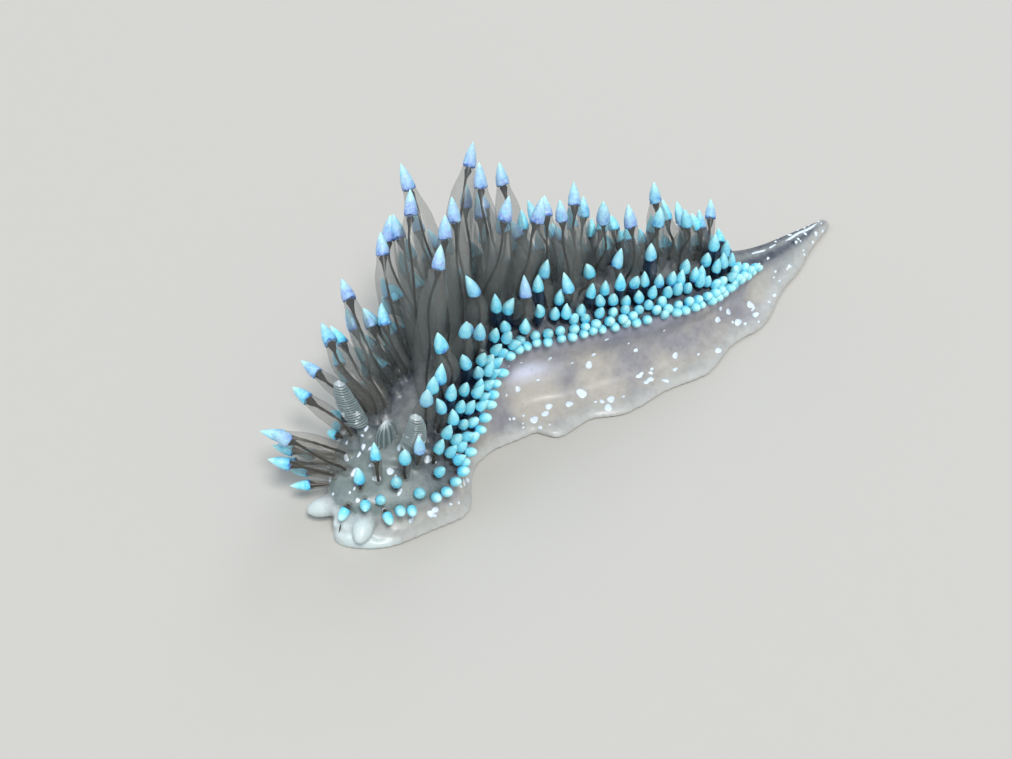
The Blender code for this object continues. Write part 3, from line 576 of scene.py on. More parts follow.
def near_pairs(points, size, owner):
    """Pairs of points of different owners that lie close enough to push each other."""
    square = (points ** 2).sum(axis=1)
    found = []
    for start in range(0, len(points), 500):
        part = slice(start, start + 500)
        apart = square[part, None] + square[None] - 2 * points[part] @ points.T
        near = apart < (size[part, None] + size[None] + GAP + 1.5) ** 2
        a, b = np.nonzero(near & (owner[part, None] != owner[None]))
        a += start
        found.append(np.stack([a, b])[:, b > a])
    return np.concatenate(found, axis=1)


def clears_feelers(ceras):
    points, radii = blockers()
    apart = np.linalg.norm(points - ceras["root"], axis=1) - radii
    return apart.min() > 0.8 * ceras["radius"] + LEAST_GAP


def node_of(station):
    return sum(station >= end for end in NODE_ENDS)


def drop_touching(cerata):
    """Leaves out cerata that touch a feeler, and the shorter of any two of different nodes that touch."""
    fine = np.linspace(0, 1, 40)
    coarse = np.linspace(0, 1, AXIS_POINTS)
    points = [np.stack([np.interp(fine, coarse, c["axis"][:, k]) for k in range(3)], axis=1) for c in cerata]
    radii = [c["radius"] * np.interp(fine, *np.array(shape_of(c)).T) for c in cerata]
    still, still_radii = blockers()
    dropped = set()
    for i, first in enumerate(cerata):
        room = np.linalg.norm(points[i][:, None] - still[None], axis=2) - radii[i][:, None] - still_radii
        if room.min() < LEAST_GAP:
            dropped.add(i)
        for k in range(i):
            second = cerata[k]
            reach = first["length"] + second["length"] + 3
            if node_of(first["station"]) == node_of(second["station"]) or abs(
                    first["station"] - second["station"]) > reach:
                continue
            room = np.linalg.norm(points[i][:, None] - points[k][None], axis=2) - radii[i][:, None] - radii[k]
            if room.min() < LEAST_GAP:
                dropped.add(i if first["length"] < second["length"] else k)
    return [c for i, c in enumerate(cerata) if i not in dropped]


TOPS_START = np.array((-34.0, -20.0))
TOPS_STEP = 1.0
TOPS = np.array([[body_top(TOPS_START[0] + TOPS_STEP * (i + 0.5), TOPS_START[1] + TOPS_STEP * (k + 0.5))
                  for k in range(34)] for i in range(68)])


def rhinophore_axis(side):
    """(points, radii) of a rhinophore's axis, from under the skin to its tip."""
    _, aft, left = spine_frame(RHINOPHORE_STATION)
    lateral = side * RHINOPHORE_LATERAL
    root = place(RHINOPHORE_STATION, lateral, dorsum_height(RHINOPHORE_STATION, lateral))
    lean = math.radians(RHINOPHORE_LEAN)
    forward = math.radians(RHINOPHORE_FORWARD)
    across = side * left * math.sin(lean) - aft * math.sin(forward)
    direction = np.array((*across, math.cos(lean)))
    direction /= np.linalg.norm(direction)
    shares = np.linspace(-0.12, 1, 12)
    bow = np.array((*(side * left), 0))
    points = [root + s * RHINOPHORE_LENGTH * direction + 0.5 * bow * math.sin(math.pi * max(s, 0))
              for s in shares]
    radii = [rhinophore_radius(max(s, 0)) + LAMELLA_DEPTH for s in shares]
    return points, radii


def rhinophore_radius(share):
    """A slim stalk under a club that is widest a third of the way up."""
    knots = ((0, RHINOPHORE_STALK), (0.22, RHINOPHORE_STALK), (0.36, 0.82 * RHINOPHORE_RADIUS),
             (0.52, RHINOPHORE_RADIUS - LAMELLA_DEPTH), (0.8, 0.62 * RHINOPHORE_RADIUS), (1.0, 0.22))
    return along(knots, share)


def tentacle_axis(side):
    """(points, radii) of a short, blunt feeler at the side of the mouth, from under the skin to its tip."""
    _, aft, left = spine_frame(TENTACLE_STATION)
    which = 0 if side > 0 else 1
    yaw, dip = math.radians(TENTACLE_YAW[which]), math.radians(TENTACLE_DIP[which])
    outwards = side * left * math.sin(yaw) - aft * math.cos(yaw)
    direction = np.array((*(math.cos(dip) * outwards), -math.sin(dip)))
    root = place(TENTACLE_STATION, side * TENTACLE_LATERAL, TENTACLE_HEIGHT)
    points = [root + share * TENTACLE_LENGTH * direction for share, _ in TENTACLE_SHAPE]
    return points, [radius * TENTACLE_RADIUS for _, radius in TENTACLE_SHAPE]


def tube_frames(axis):
    """(side, up) unit vectors across each point of a line, turning with it as little as possible."""
    runs = np.gradient(axis, axis=0)
    runs /= np.linalg.norm(runs, axis=1)[:, None]
    start = np.array((1.0, 0, 0)) if abs(runs[0][0]) < 0.7 else np.array((0, 1.0, 0))
    frames = []
    for run in runs:
        side = start - (start @ run) * run
        side /= np.linalg.norm(side)
        frames.append((side, np.cross(run, side)))
        start = side
    return frames



# Cerata of the scene


def settled_cerata():
    """The longer cerata of the solids, and between them the finer rows that only the scene shows."""
    found = [c for side in (1, -1) for number, row in enumerate(ROWS) for c in row_of_cerata(row, number, side)]
    whole = drop_touching(bend_apart([c for c in found if clears_feelers(c)]))
    long = [c for c in whole if c["length"] > LONG_LENGTH]
    for ceras in long:
        ceras["radius"] *= LONG_SLIMMER
    roots = [(c["root"], ROOT_SHARE * c["radius"]) for c in long]
    fine = []
    dice = random.Random(FINE_SEED)
    for number, row in enumerate(FINE_ROWS):
        for side in (1, -1):
            for ceras in row_of_cerata(row, FINE_SEED + number, side):
                if side < 0 and ceras["station"] < FINE_RIGHT_START:
                    continue
                room = min(np.linalg.norm(ceras["root"] - root) - wide for root, wide in roots)
                apart = row["apart"]
                if number > 0:
                    tight = min(1, notum_half(max(ceras["station"], 7), side) / 5)
                    apart *= along(FINE_HEAD_APART, ceras["station"]) * (0.4 + 0.6 * tight)
                if ceras["length"] > BEAD_LENGTH:
                    ceras["length"] *= dice.uniform(*FINE_SPREAD)
                if room > apart - ROOT_SHARE * ceras["radius"] and clears_feelers(ceras):
                    fine.append(ceras)
                    roots.append((ceras["root"], ROOT_SHARE * ceras["radius"]))
    return long + bend_apart(fine, long, FINE_ROOM)


# Mesh making


def new_mesh(name, points, faces):
    mesh = bpy.data.meshes.new(name)
    mesh.from_pydata([tuple(MM * x for x in p) for p in points], [], faces)
    return mesh


def new_object(name, data):
    made = bpy.data.objects.new(name, data)
    bpy.context.scene.collection.objects.link(made)
    return made


class Bag:
    """Points, faces, UVs and values per point, gathered from many small pieces into one mesh."""

    def __init__(self, cells=1):
        self.points, self.faces, self.uvs = [], [], []
        self.values = {}
        self.columns = math.ceil(math.sqrt(cells))
        self.cell = 0

    def add(self, points, faces, uvs, **values):
        start = len(self.points)
        self.points += [tuple(p) for p in points]
        row, column = divmod(self.cell, self.columns)
        for face, corners in zip(faces, uvs):
            self.faces.append(tuple(i + start for i in face))
            self.uvs += [((column + 0.02 + 0.96 * u) / self.columns, (row + 0.02 + 0.96 * v) / self.columns)
                         for u, v in corners]
        for name, value in values.items():
            self.values.setdefault(name, []).extend(np.broadcast_to(value, len(points)).tolist())
        self.cell += 1

    def build(self, name, shader):
        mesh = new_mesh(name, self.points, self.faces)
        layer = mesh.uv_layers.new(name="OFBake")
        layer.data.foreach_set("uv", np.array(self.uvs, np.float32).ravel())
        store(mesh, self.values)
        mesh.shade_smooth()
        mesh.materials.append(shader)
        return new_object(name, mesh)


def store(mesh, values):
    """Keeps named values per point in a mesh, for its material."""
    for name, value in values.items():
        layer = mesh.attributes.new(name, "FLOAT", "POINT")
        layer.data.foreach_set("value", np.array(value, np.float32))


def grid(rows, wide, low=0, high=1, closed=True):
    """(faces, their corners on the map) between rows of points, each row a ring or, if not closed, a strip."""
    heights = np.linspace(low, high, rows)
    steps = wide if closed else wide - 1
    faces, uvs = [], []
    for i in range(rows - 1):
        for k in range(steps):
            n = (k + 1) % wide
            faces.append((i * wide + k, i * wide + n, (i + 1) * wide + n, (i + 1) * wide + k))
            uvs.append([((k + a) / steps, heights[i + b]) for a, b in ((0, 0), (1, 0), (1, 1), (0, 1))])
    return faces, uvs


def fan(first, wide, tip, low, high):
    """The same from a ring to one point, which closes the ring's lower side where high is less than low."""
    order = (0, 1) if high > low else (1, 0)
    faces = [(*(first + (k + a) % wide for a in order), tip) for k in range(wide)]
    uvs = [(*(((k + a) / wide, low) for a in order), ((k + 0.5) / wide, high)) for k in range(wide)]
    return faces, uvs


def merged(*parts):
    return [sum(kind, []) for kind in zip(*parts)]


def tube_mesh(axis, radii, sides):
    """(points, faces, uvs, share along the tube per point) of a round closed piece, pointed at its end."""
    turns = [2 * math.pi * k / sides for k in range(sides)]
    rings = len(axis) - 1
    points = [axis[i] + radii[i] * (math.cos(t) * side + math.sin(t) * up)
              for i, (side, up) in enumerate(tube_frames(np.array(axis))[:rings]) for t in turns]
    points += [axis[0], axis[-1]]
    low, high = 1 / (rings + 1), rings / (rings + 1)
    faces, uvs = merged(grid(rings, sides, low, high), fan(0, sides, len(points) - 2, low, 0),
                        fan((rings - 1) * sides, sides, len(points) - 1, high, 1))
    lie = [i / rings for i in range(rings) for _ in range(sides)] + [0, 1]
    return points, faces, uvs, np.array(lie)


def ease(share):
    share = min(1, max(0, share))
    return share * share * (3 - 2 * share)


class Form:
    """One ceras's measures in millimetres from its tip downwards."""

    def __init__(self, ceras, dice):
        self.length = ceras["length"]
        self.wide = ceras["radius"]
        self.cap_length = along(CAP_LENGTH, self.length) * dice.uniform(0.92, 1.08)
        self.cap_radius = along(CAP_RADIUS, self.length) * dice.uniform(0.93, 1.07)
        self.neck = along(NECK_LENGTH, self.length)
        self.curve, _ = smooth_curve(ceras["axis"], CURVE_STEPS + 1)
        if self.length < STRAIGHT_LENGTH:
            lean = self.curve[-1] - self.curve[0]
            reach = np.linspace(0, self.length, CURVE_STEPS + 1)
            self.curve = self.curve[0] + np.outer(reach, lean / np.linalg.norm(lean))
        self.run = (self.curve[1] - self.curve[0]) / np.linalg.norm(self.curve[1] - self.curve[0])

    def at(self, down):
        """The point of the axis that far below the tip; the axis goes on straight under the skin."""
        share = 1 - down / self.length
        if share < 0:
            return self.curve[0] + share * self.length * self.run
        low = min(CURVE_STEPS - 1, int(CURVE_STEPS * share))
        part = CURVE_STEPS * share - low
        return (1 - part) * self.curve[low] + part * self.curve[low + 1]

    def cap(self, down):
        """Radius of the bullet-shaped cap."""
        share = min(1, max(0, down / self.cap_length))
        if self.length < BEAD_LENGTH:
            return self.cap_radius * math.sqrt(max(0, 1 - (1 - 1.25 * share) ** 2))
        return self.cap_radius * math.sin(math.pi / 2 * share) ** 0.88

    def flesh(self, down):
        """Radius of the see-through body, which narrows into the cap."""
        inside = FLESH_IN_CAP * self.cap(down)
        body = self.wide * along(FLESH_SHAPE, min(1, max(0, 1 - down / self.length)))
        share = ease((down - 0.85 * self.cap_length) / self.neck)
        return (1 - share) * min(inside, FLESH_IN_CAP * self.cap_radius) + share * body


def add_flesh(form, station, skins):
    """The see-through body of a ceras, from under the skin into its cap."""
    rings = 18 if form.length > FULL_RINGS_LENGTH else 9
    root = form.length + 0.5 * form.wide
    downs = [*np.linspace(root, form.cap_length, rings), *(form.cap_length * s for s in FLESH_TOP)]
    points, faces, uvs, lie = tube_mesh([form.at(d) for d in downs], [form.flesh(d) for d in downs], SKIN_SIDES)
    skins.add(points, faces, uvs, lie=lie, warm=min(1, max(0, (11 - station) / 5)))


def add_cap(form, tone, dice, caps):
    """The cap of opaque pigment, with a ragged lower edge on longer cerata."""
    downs = [share * form.cap_length for share in CAP_RINGS]
    radii = [form.cap(d) for d in downs]
    radii[0] *= CAP_EDGE[0]
    radii[1] *= CAP_EDGE[1]
    points, faces, uvs, lie = tube_mesh([form.at(d) for d in downs], radii, CAP_SIDES)
    phase = dice.uniform(0, 6.3)
    ragged = CAP_RAGGED * form.cap_length if form.length > CAP_RAGGED_LENGTH else 0
    shaped = []
    for i, p in enumerate(points):
        turn = 2 * math.pi * (i % CAP_SIDES) / CAP_SIDES
        wave = math.sin(2 * turn + phase) + 0.6 * math.sin(5 * turn + 2 * phase)
        shaped.append(p + max(0, 1 - lie[i] / 0.25) * ragged * wave * form.run)
    caps.add(shaped, faces, uvs, lie=lie, tone=tone)


def add_gland(form, station, dice, glands):
    """The dark gland inside a ceras: a thin wandering line that swells to a cup under the cap."""
    length = form.length
    phase, other = dice.uniform(0, 6.3), dice.uniform(0, 6.3)
    frames = tube_frames(form.curve)
    rings = 20 if length > FULL_RINGS_LENGTH else 9
    axis, radii = [], []
    cup = min(along(CUP_DEPTH, length), 0.8 * (length - form.cap_length))
    thin = along(GLAND_RADIUS, length + max(0, 2 - 0.2 * station))
    for d in np.linspace(length, 0.9 * form.cap_length, rings + 1):
        side, up = frames[min(CURVE_STEPS, max(0, round(CURVE_STEPS * (1 - d / length))))]
        wide = form.flesh(d)
        drift = GLAND_WANDER * wide * ease(4 * (1 - d / length)) * ease((d - form.cap_length) / 1.5)
        off = math.sin(phase + 0.55 * d) * side + math.sin(other + 0.8 * d) * up
        axis.append(form.at(d) + drift * off)
        flare = ease(1 - (d - form.cap_length) / max(cup, 0.2)) ** 1.6
        grain = 1 + 0.15 * math.sin(7.1 * d + phase)
        swell = min(GLAND_CUP * form.cap_radius, 0.86 * wide)
        radii.append(min(thin * grain + flare * max(0, swell - thin), 0.9 * wide))
    points, faces, uvs, _ = tube_mesh(axis, radii, GLAND_SIDES)
    glands.add(points, faces, uvs)


def add_ceras(ceras, dice, skins, glands, caps):
    form = Form(ceras, dice)
    tone = min(1, max(0, (form.length - 4.5) / 6 + dice.gauss(0, 0.25)))
    add_flesh(form, ceras["station"], skins)
    add_cap(form, tone, dice, caps)
    add_gland(form, ceras["station"], dice, glands)


# Body skin


def smooth_ring(points, count):
    """count points along a smooth closed line through the given points of a cross-section."""
    p = np.array(points, float)
    closed = np.vstack([p[-1:], p, p[:2]])
    t = np.linspace(0, 1, 12, endpoint=False)[:, None]
    runs = []
    for a, b, c, d in zip(closed[:-3], closed[1:-2], closed[2:-1], closed[3:]):
        start, end = RING_BEND * (c - a), 0.5 * RING_BEND * (d - b)
        runs.append(b + 0.5 * start * t + (3 * (c - b) - start - end) * t**2
                    + (2 * (b - c) + 0.5 * start + end) * t**3)
    dense = np.vstack([*runs, runs[0][:1]])
    reach = np.concatenate([[0], np.cumsum(np.linalg.norm(np.diff(dense, axis=0), axis=1))])
    at = np.linspace(0, reach[-1], count, endpoint=False)
    return np.stack([np.interp(at, reach, dense[:, k]) for k in (0, 1)], axis=1)


def body_side(station, side):
    """Outline of one side from the sole round the foot's margin and up the flank towards the midline."""
    margin = foot_margin(station, side)
    wide = margin[1][0]
    if station < HEAD_FRONT + 0.1:
        return margin + [(0.6 * wide, FOOT_TOP), (0.3 * wide, FOOT_TOP + 0.1)]
    low = FOOT_EDGE + 0.35 * min(1, wide / 3)
    rise = flank(station, side, low)
    base = min(rise[0][0], max(wide - 0.5, 0.6 * wide))
    apron = [(base + 0.35 * max(margin[2][0] - base, 0.1), FOOT_EDGE + 0.12), (base, low + 0.1)]
    return margin + apron + rise[1:]


def body_loft_points():
    """Rings of the whole body, from the front of the foot to the tip of the tail."""
    close = FOOT_FRONT + 0.02 + 3.0 * (np.linspace(0, 1, 16) ** 2)
    stations = np.concatenate([close, np.arange(close[-1] + BODY_STEP, BODY_LENGTH - 0.1, BODY_STEP)])
    rings = []
    for s in stations:
        top = (0.0, dorsum_height(s, 0) if s > HEAD_FRONT + 0.1 else FOOT_TOP + 0.15)
        ring = smooth_ring(ring_of(body_side(s, 1), body_side(s, -1), top), BODY_RING)
        ring[:, 1] = np.maximum(ring[:, 1], 0)
        rings.append([place(s, w, h) for w, h in ring])
    return rings


def closed_loft(name, rings, tip):
    count = len(rings[0])
    points = [p for ring in rings for p in ring] + [tip]
    sides, _ = grid(len(rings), count)
    end, _ = fan((len(rings) - 1) * count, count, len(points) - 1, 0, 1)
    return raw_object(name, points, sides + [tuple(range(count))] + end)


def raw_object(name, points, faces):
    mesh = new_mesh(name, points, faces)
    body = bmesh.new()
    body.from_mesh(mesh)
    bmesh.ops.recalc_face_normals(body, faces=body.faces)
    body.to_mesh(mesh)
    body.free()
    return new_object(name, mesh)


def tube_object(name, axis, radii, sides=20):
    points, faces, _, _ = tube_mesh(axis, radii, sides)
    return raw_object(name, points, faces)


def round_tube(name, axis, radii, steps=24, end_share=0.25):
    """A tube through a few points with a rounded end."""
    curve, _ = smooth_curve(axis, steps + 1)
    shares = np.linspace(0, 1, steps + 1)
    wide = np.interp(shares, np.linspace(0, 1, len(radii)), radii)
    end = np.sqrt(np.clip(1 - np.clip((shares - 1 + end_share) / end_share, 0, 1) ** 2, 0, 1))
    return tube_object(name, curve, wide * end)


def bump(centre, radii, around=24, up=12):
    """A rounded swelling: an ellipsoid of those half sizes along the body, across it and upwards."""
    _, aft, left = spine_frame(locate(centre[0], centre[1])[0])
    points = []
    for i in range(1, up):
        low = math.pi * i / up
        for k in range(around):
            turn = 2 * math.pi * k / around
            points.append((math.sin(low) * math.cos(turn), math.sin(low) * math.sin(turn), -math.cos(low)))
    points += [(0, 0, -1), (0, 0, 1)]
    faces, _ = merged(grid(up - 1, around), fan(0, around, len(points) - 2, 1, 0),
                      fan((up - 2) * around, around, len(points) - 1, 0, 1))
    sized = [np.array(p) * radii for p in points]
    return raw_object("swelling", [centre + (*(x * aft + y * left), z) for x, y, z in sized], faces)


def apply(obj):
    """Bakes an object's modifiers into its mesh."""
    graph = bpy.context.evaluated_depsgraph_get()
    mesh = bpy.data.meshes.new_from_object(obj.evaluated_get(graph))
    obj.modifiers.clear()
    old = obj.data
    obj.data = mesh
    bpy.data.meshes.remove(old)


def one_skin(name, pieces):
    """Melts overlapping closed pieces into one smooth skin."""
    made = pieces[0]
    with bpy.context.temp_override(active_object=made, selected_editable_objects=pieces):
        bpy.ops.object.join()
    made.name = name
    melt = made.modifiers.new("melt", "REMESH")
    melt.mode = "VOXEL"
    melt.voxel_size = BODY_VOXEL * MM
    soften = made.modifiers.new("soften", "SMOOTH")
    soften.factor = 0.5
    soften.iterations = BODY_SMOOTHING
    apply(made)
    made.data.shade_smooth()
    return made


def body_skin(cerata):
    """One skin of the body, the feelers, the rhinophores' collars and the long cerata's roots."""
    pieces = [closed_loft("body", body_loft_points(), place(BODY_LENGTH, 0, 0.35))]
    for side in (1, -1):
        points, radii = tentacle_axis(side)
        taper = [share * radii[1] for share in FEELER_TAPER]
        pieces.append(round_tube("feeler", points, taper, end_share=0.36))
        points, _ = rhinophore_axis(side)
        pieces.append(round_tube("collar", points[:4], COLLAR_RADII))
    for c in cerata:
        wide = c["radius"] * FLESH_SHAPE[0][1]
        if c["length"] > LONG_LENGTH:
            run = (c["axis"][1] - c["axis"][0]) / np.linalg.norm(c["axis"][1] - c["axis"][0])
            axis = [c["axis"][0] + share * wide * run for share, _ in STUB]
            pieces.append(tube_object("stub", axis, [share * wide for _, share in STUB], STUB_SIDES))
    pieces += head_forms()
    made = one_skin("body_skin", pieces)
    paint_body(made)
    return made


def head_forms():
    """Swellings of the head: the lips round the mouth, and the low ridge that carries the rhinophores."""
    ridge = place(RHINOPHORE_STATION, 0, dorsum_height(RHINOPHORE_STATION, 0) - 0.35)
    lips = [bump(place(MOUTH_STATION, side * LIP_APART, MOUTH_HEIGHT), LIP_SIZE) for side in (1, -1)]
    return [*lips, bump(place(VEIL_STATION, 0, VEIL_HEIGHT), VEIL_SIZE), bump(ridge, RIDGE_SIZE)]


def notum_rim(station, side):
    return dorsum_height(station, side * notum_half(station, side))


def paint_body(skin):
    """Stores where each point of the skin lies, for its colours: up the flank, on the head and on the tail, and
    where the painted highlight on the flank falls.
    """
    mesh = skin.data
    co = np.empty(len(mesh.vertices) * 3, np.float32)
    mesh.vertices.foreach_get("co", co)
    co = co.reshape(-1, 3) / MM
    step = 2
    line = SPINE[::step]
    nearest = np.concatenate([np.linalg.norm(part[:, None, :2] - line[None], axis=2).argmin(axis=1)
                              for part in np.array_split(co, 60)])
    station = nearest * step / (MIDLINE_SAMPLES - 1) * BODY_LENGTH
    aft = np.gradient(line, axis=0)
    aft /= np.linalg.norm(aft, axis=1)[:, None]
    left = np.stack([aft[:, 1], -aft[:, 0]], axis=1)[nearest]
    lateral = ((co[:, :2] - line[nearest]) * left).sum(axis=1)
    across, up = abs(lateral), co[:, 2]
    knots = np.linspace(-1, BODY_LENGTH, 200)
    foot, half, rim = (np.where(lateral > 0, *(
        np.interp(station, knots, [measure(s, side) for s in knots]) for side in (1, -1)))
        for measure in (foot_half, notum_half, notum_rim))
    # Painted highlight: a pale patch high on each flank
    painted_highlight = ((station - HIGHLIGHT_STATION) / HIGHLIGHT_LENGTH) ** 2 + ((up - HIGHLIGHT_HEIGHT) / HIGHLIGHT_TALL) ** 2
    store(mesh, {
        "margin": np.clip((across - foot + 2.2) / 2.2, 0, 1) * np.clip(1.8 - up, 0, 1),
        "climb": np.clip((up - 0.6) / np.maximum(rim - 0.6, 0.3), 0, 1),
        # the back, which gets painted shade among the cerata and the head's top colour
        "back": np.clip((half - across + 0.25) / 0.5, 0, 1) * np.clip((up - rim) / 0.4 + 0.9, 0, 1),
        "bare": np.clip(1.3 - across / np.maximum(0.30 * half, 0.3), 0, 1),
        "head": np.clip((9.0 - station) / 5, 0, 1),
        "tail": np.clip((station - 46) / 6, 0, 1),
        "painted_highlight": np.exp(-painted_highlight),
        "feeler": np.clip((HEAD_FRONT + 0.6 - station) / 1.0 + 0.35 * (across - 1.6), 0, 1),
    })


# Rhinophores and crest


def rhinophore_bag(side):
    """A club wrapped in thin sloping lamellae, on a smooth stalk."""
    curve, _ = smooth_curve(rhinophore_axis(side)[0], 4 * CURVE_STEPS + 1)
    dice = random.Random(31 + side)
    tilts = [LEAF_TILT + dice.uniform(-0.06, 0.06) for _ in range(LEAVES)]
    shares, radii = (list(part) for part in zip(*STALK))
    pitch = (LEAVES_END - LEAVES_START) / LEAVES
    for k in range(LEAVES):
        low = LEAVES_START + k * pitch
        wide = rhinophore_radius(low + 0.5 * pitch) * dice.uniform(0.96, 1.04)
        shares += [low + share * pitch for share in LEAF_RINGS]
        radii += [wide * 0.90 - 0.02, wide * 0.94, wide + 0.07, wide + 0.11, wide + 0.07]
    shares += [share for share, _ in CLUB_TOP]
    radii += [radius for _, radius in CLUB_TOP]
    axis = [curve[round(4 * CURVE_STEPS * s)] for s in shares]
    points, faces, uvs, lie = tube_mesh(axis, radii, CLUB_SIDES)
    _, aft, left = spine_frame(RHINOPHORE_STATION)
    shaped = []
    for i, p in enumerate(points):
        ring = min(i // CLUB_SIDES, len(axis) - 1)
        off = p - axis[ring]
        club = 1 if shares[ring] > LEAVES_START else 0
        seam = abs(math.atan2(off[:2] @ left, off[:2] @ aft))
        pinch = 1 - 0.16 * club * max(0, 1 - seam / 0.5) - 0.10 * club * max(0, 1 - (math.pi - seam) / 0.5)
        leaf = min(LEAVES - 1, max(0, ring - len(STALK)) // len(LEAF_RINGS))
        slope = -tilts[leaf] * float(off[:2] @ aft) * club
        shaped.append(axis[ring] + pinch * off + np.array((0, 0, slope)))
    edge = np.repeat([0] * len(STALK) + [0, 0.1, 0.6, 1.0, 0.8] * LEAVES, CLUB_SIDES)
    edge = np.pad(edge, (0, len(points) - len(edge)), constant_values=0.8)
    bag = Bag()
    bag.add(shaped, faces, uvs, lie=lie, edge=edge)
    return bag


def crest_bag():
    """The caruncle: a small folded crest between the rhinophores."""
    base = place(RHINOPHORE_STATION, 0, dorsum_height(RHINOPHORE_STATION, 0) - CREST_SINK)
    _, aft, left = spine_frame(RHINOPHORE_STATION)
    long_half, wide_half, height = CARUNCLE_SIZE
    turns = [2 * math.pi * k / CREST_SIDES for k in range(CREST_SIDES)]
    points = []
    for share in (i / CREST_LEVELS for i in range(CREST_LEVELS)):
        swell = math.sqrt(max(0.0, 1 - (share - 0.25) ** 2 / 0.62)) * (1 - 0.5 * ease((share - 0.75) / 0.25))
        for turn in turns:
            fold = 1 + 0.13 * math.cos(2 * CARUNCLE_FOLDS * turn + 1.2 * share) * min(1, 3 * share + 0.2)
            spot = long_half * math.cos(turn) * aft + wide_half * math.sin(turn) * left
            points.append(base + (*(0.92 * swell * fold * spot), share * (height + CREST_SINK)))
    points.append(base + (0, 0, height + CREST_SINK))
    top = 1 - 1 / CREST_LEVELS
    faces, uvs = merged(grid(CREST_LEVELS, CREST_SIDES, 0, top),
                        fan((CREST_LEVELS - 1) * CREST_SIDES, CREST_SIDES, len(points) - 1, top, 1))
    folds = [0.5 + 0.5 * math.cos(2 * CARUNCLE_FOLDS * turn) for turn in turns] * CREST_LEVELS + [1.0]
    bag = Bag()
    bag.add(points, faces, uvs, lie=[min(1, (p[2] - base[2]) / height) for p in points], edge=folds)
    return bag


# Pigment, eyes and mouth


def tree_of(obj):
    mesh = obj.data
    points = [v.co / MM for v in mesh.vertices]
    return BVHTree.FromPolygons(points, [tuple(p.vertices) for p in mesh.polygons])


def add_fleck(bag, tree, aim, start, long_half, wide_half, turn, lift=FLECK_LIFT):
    """A small raised patch of opaque pigment on the skin, where a ray from start towards aim meets it."""
    start, aim = Vector(start), Vector(aim)
    hit, normal, _, _ = tree.ray_cast(start, (aim - start).normalized())
    if hit is None:
        return
    _, aft, _ = spine_frame(locate(hit.x, hit.y)[0])
    run = Vector((*aft, 0))
    run = (run - run.dot(normal) * normal).normalized()
    side = normal.cross(run)
    run, side = (math.cos(turn) * run + math.sin(turn) * side, -math.sin(turn) * run + math.cos(turn) * side)
    rings = ((1.0, -0.06), (0.94, 0.35 * lift), (0.6, 0.9 * lift))
    points = []
    for share, height in rings:
        for a in (2 * math.pi * k / FLECK_SIDES for k in range(FLECK_SIDES)):
            uneven = 1 + 0.12 * math.sin(2 * a + turn * 7) + 0.08 * math.sin(3 * a + turn * 13)
            off = long_half * math.cos(a) * run + wide_half * math.sin(a) * side
            near, face_normal, _, _ = tree.find_nearest(hit + share * uneven * off)
            points.append(tuple(near + height * face_normal))
    points.append(tuple(hit + lift * normal))
    faces, uvs = merged(grid(len(rings), FLECK_SIDES, 0, 2 / 3),
                        fan((len(rings) - 1) * FLECK_SIDES, FLECK_SIDES, len(points) - 1, 2 / 3, 1))
    bag.add(points, faces, uvs)


def add_line(bag, tree, first, last, half):
    """A raised line of pigment along the middle of the tail between two stations."""
    stations = np.linspace(first, last, max(4, round((last - first) / LINE_STEP)))
    profile = ((-1, -0.04), (-0.8, 0.6 * LINE_LIFT), (0, LINE_LIFT), (0.8, 0.6 * LINE_LIFT), (1, -0.04))
    points = []
    for i, s in enumerate(stations):
        share = i / (len(stations) - 1)
        wide = half * (0.25 + 0.75 * min(1, 6 * share, 6 * (1 - share))) * (1 + 0.18 * math.sin(9.7 * s))
        for across, height in profile:
            spot = Vector(place(s, across * wide + 0.06 * math.sin(1.9 * s), 6.0))
            hit, normal, _, _ = tree.ray_cast(spot, Vector((0, 0, -1)))
            points.append(tuple(hit + height * normal))
    bag.add(points, *grid(len(stations), len(profile), closed=False))


def pigment_bag(tree):
    dice = random.Random(FLECK_SEED)
    bag = Bag(sum(2 * row[3] for row in FLECKS) + len(TAIL_LINES))
    for where, stations, shares, count, (low, high), most in FLECKS:
        for side in [1] * count + [-1] * count:
            s = dice.uniform(*stations)
            across = dice.uniform(*shares)
            size = low + (high - low) * dice.random() ** 2.2
            stretch = 1 + (most - 1) * dice.random() ** 1.5
            turn = dice.gauss(0, FLECK_TURN)
            foot, half = foot_half(s, side), notum_half(s, side)
            if where == "flank":
                height = 0.8 + across * (0.80 * notum_rim(s, side) - 0.8)
                aim = place(s, 0, height)
                start = place(s, side * (foot + 6), height + 1.5)
            else:
                aim = place(s, side * across * (half if where == "head" else foot), 0)
                start = aim + (0, 0, DROP)
            add_fleck(bag, tree, aim, start, size * stretch**0.5, size / stretch**0.5, turn)
    for line in TAIL_LINES:
        add_line(bag, tree, *line)
    return bag


def eye_bag(tree):
    """A tiny dark eye under the skin behind each rhinophore."""
    bag = Bag(2)
    for side in (1, -1):
        aim = place(RHINOPHORE_STATION + EYE_BEHIND, side * EYE_LATERAL, 0)
        add_fleck(bag, tree, aim, aim + (0, 0, DROP), EYE_RADIUS, EYE_RADIUS, 0, EYE_LIFT)
    return bag


